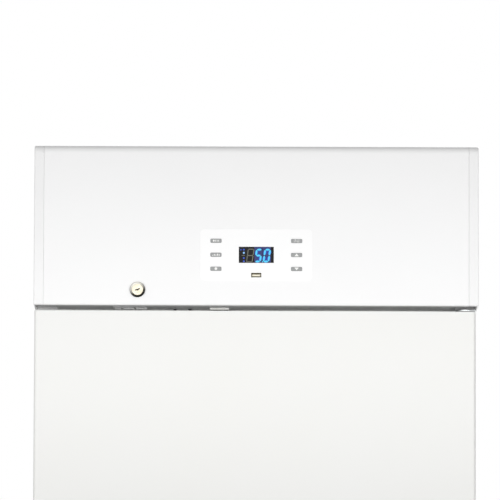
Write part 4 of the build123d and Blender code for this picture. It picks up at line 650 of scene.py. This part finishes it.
back_columns = (back_low.x + BACK_SIDE, back_high.x - BACK_SIDE)
back_places = [Vector((x, back_high.y, z)) for x in back_columns for z in back_rows]
for number, spot in enumerate(back_places, start=1):
    socket_screw(f"back_screw_{number}", spot, back, SHEET_SCREW_R, zinc_plate, "cabinet")

# Lip behind the cam slot
# The tray's sheet behind the slot, pressed down in three lengths, in the header's own coat.
# They catch the light in the gap as short pale dashes.
LIP_DROP = 0.0008
LIP_DEEP = 0.002
LIP_IN = 0.0256
lip_spans = ((-0.1906, -0.1825), (-0.1798, -0.1650), (-0.1623, -0.1474))
for number, (left, right) in enumerate(lip_spans, start=1):
    outline = bar_outline((left + right) / 2, tray_low.z - LIP_DROP / 2, right - left, LIP_DROP)
    face_y = tray_low.y + LIP_IN
    flat_shape(f"slot_lip_{number}", outline, face_y, LIP_DEEP, header_coat, "cabinet")

# Pins of the mains inlet
# Three flat plated blades moulded into the recess, the earth blade above the other two.
# They shine dully against the black nylon.
PIN_W, PIN_H, PIN_L = 0.002, 0.004, 0.012
RECESS_DEEP = 0.0152
inlet_low, inlet_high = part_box("mains_inlet")
inlet_x = (inlet_low.x + inlet_high.x) / 2
inlet_z = (inlet_low.z + inlet_high.z) / 2
recess_floor_y = inlet_high.y - RECESS_DEEP
pin_steps = ((-0.007, -0.001), (0.007, -0.001), (0.0, 0.003))
for number, (step_x, step_z) in enumerate(pin_steps, start=1):
    outline = bar_outline(inlet_x + step_x, inlet_z + step_z, PIN_W, PIN_H)
    flat_shape(f"inlet_pin_{number}", outline, recess_floor_y, PIN_L, zinc_plate, "cabinet")

# Floor
# A plain pale studio floor that keeps the object's shadow.
FLOOR_HALF = 30
floor_paint, tree, shader = new_material("pale studio floor", Roughness=0.8)
mottled(tree, shader, "#F4F4F4", "#F2F2F2", patch_mm=400)
ground = bmesh.new()
bmesh.ops.create_grid(ground, x_segments=1, y_segments=1, size=FLOOR_HALF)
floor = new_object("floor", ground, floor_paint)

# World
# An even white sky that lights softly, and is plain white where it is seen or mirrored.
SKY_LIGHT = 0.39
world = bpy.data.worlds.new("studio")
bpy.context.scene.world = world
world.use_nodes = True
tree = world.node_tree
tree.nodes.clear()
path = add_node(tree, "ShaderNodeLightPath")
seen = add_node(tree, "ShaderNodeMath", {"operation": "MAXIMUM"})
tree.links.new(path.outputs["Is Camera Ray"], seen.inputs[0])
tree.links.new(path.outputs["Is Transmission Ray"], seen.inputs[1])
shown = add_node(tree, "ShaderNodeMath", {"operation": "MAXIMUM"})
tree.links.new(seen.outputs[0], shown.inputs[0])
tree.links.new(path.outputs["Is Glossy Ray"], shown.inputs[1])
dome = add_node(tree, "ShaderNodeBackground", Color=(1, 1, 1, 1), Strength=SKY_LIGHT)
sheet = add_node(tree, "ShaderNodeBackground", Color=(1, 1, 1, 1), Strength=1.0)
mix = add_node(tree, "ShaderNodeMixShader", Fac=shown.outputs[0])
tree.links.new(dome.outputs[0], mix.inputs[1])
tree.links.new(sheet.outputs[0], mix.inputs[2])
add_node(tree, "ShaderNodeOutputWorld", Surface=mix.outputs[0])


# Lamps
# A wide soft lamp and a low one in front, one behind, and a strip lamp that reaches into the gap.
def area_lamp(name, spot, aim, wide, tall, power):
    """A soft lamp at a spot, turned to face its aim."""
    data = bpy.data.lights.new(name, "AREA")
    data.shape = "RECTANGLE"
    data.size = wide
    data.size_y = tall
    data.energy = power
    lamp_object = bpy.data.objects.new(name, data)
    bpy.context.scene.collection.objects.link(lamp_object)
    lamp_object.location = spot
    lamp_object.rotation_euler = (Vector(aim) - Vector(spot)).to_track_quat("-Z", "Y").to_euler()
    lamp_object.visible_camera = False


header_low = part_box("header_front")[0]
front_y = header_low.y
header_edge = header_low.z
edge_spot = (0, front_y, header_edge)
area_lamp("wide front lamp", (0, front_y - 3.2, 1.9), (0, front_y, 1.9), wide=3.0, tall=2.4, power=9.5)
area_lamp("low front lamp", (0, front_y - 2.4, 0.5), edge_spot, wide=2.4, tall=0.8, power=9)
area_lamp("strip lamp", (0, front_y - 0.6, header_edge - 0.045), edge_spot, wide=2.4, tall=0.12, power=4.3)
area_lamp("back lamp", (0.8, 3.2, 2.0), (0, 0, 1.0), wide=2.4, tall=2.0, power=30)

# Dark flag
# Black cloth on a frame, low between camera and object, which shows only in what mirrors it.
flag_cloth, tree, shader = new_material("black flag cloth", Roughness=1.0)
mottled(tree, shader, "#0E0E0E", "#090909", patch_mm=50)
cloth = bmesh.new()
near_y, far_y = front_y - 0.35, front_y - 4.5
near_z, far_z = 0.9, 1.45
left_x, right_x = -1.5, 2.5
near_edge = [(left_x, near_y, near_z), (right_x, near_y, near_z)]
far_edge = [(right_x, far_y, far_z), (left_x, far_y, far_z)]
cloth.faces.new([cloth.verts.new(corner) for corner in near_edge + far_edge])
flag = new_object("dark_flag", cloth, flag_cloth)
for ray_kind in ("camera", "diffuse", "transmission", "shadow"):
    setattr(flag, f"visible_{ray_kind}", False)

# Camera
# A long lens low in front of the object, looking up a little, so that the header's underside shows.
PHOTO_WIDTH_M = 0.6743
SENSOR_MM = 36
DISTANCE = 9.0
LOOK_UP = math.radians(6.5)
ROLL = math.radians(0.2)
AIM_X, AIM_RISE = -0.0085, 0.0752
aim = Vector((AIM_X, front_y, header_edge + AIM_RISE))
camera_data = bpy.data.cameras.new("camera")
camera_data.sensor_width = SENSOR_MM
camera_data.lens = SENSOR_MM * DISTANCE / PHOTO_WIDTH_M
camera_data.clip_end = 200
camera = bpy.data.objects.new("camera", camera_data)
bpy.context.scene.collection.objects.link(camera)
camera.location = aim - DISTANCE * Vector((0, math.cos(LOOK_UP), math.sin(LOOK_UP)))
upright = Matrix.Rotation(math.pi / 2 + LOOK_UP, 4, "X")
camera.rotation_euler = (upright @ Matrix.Rotation(ROLL, 4, "Z")).to_euler()
bpy.context.scene.camera = camera
bpy.context.scene.view_settings.view_transform = "Standard"
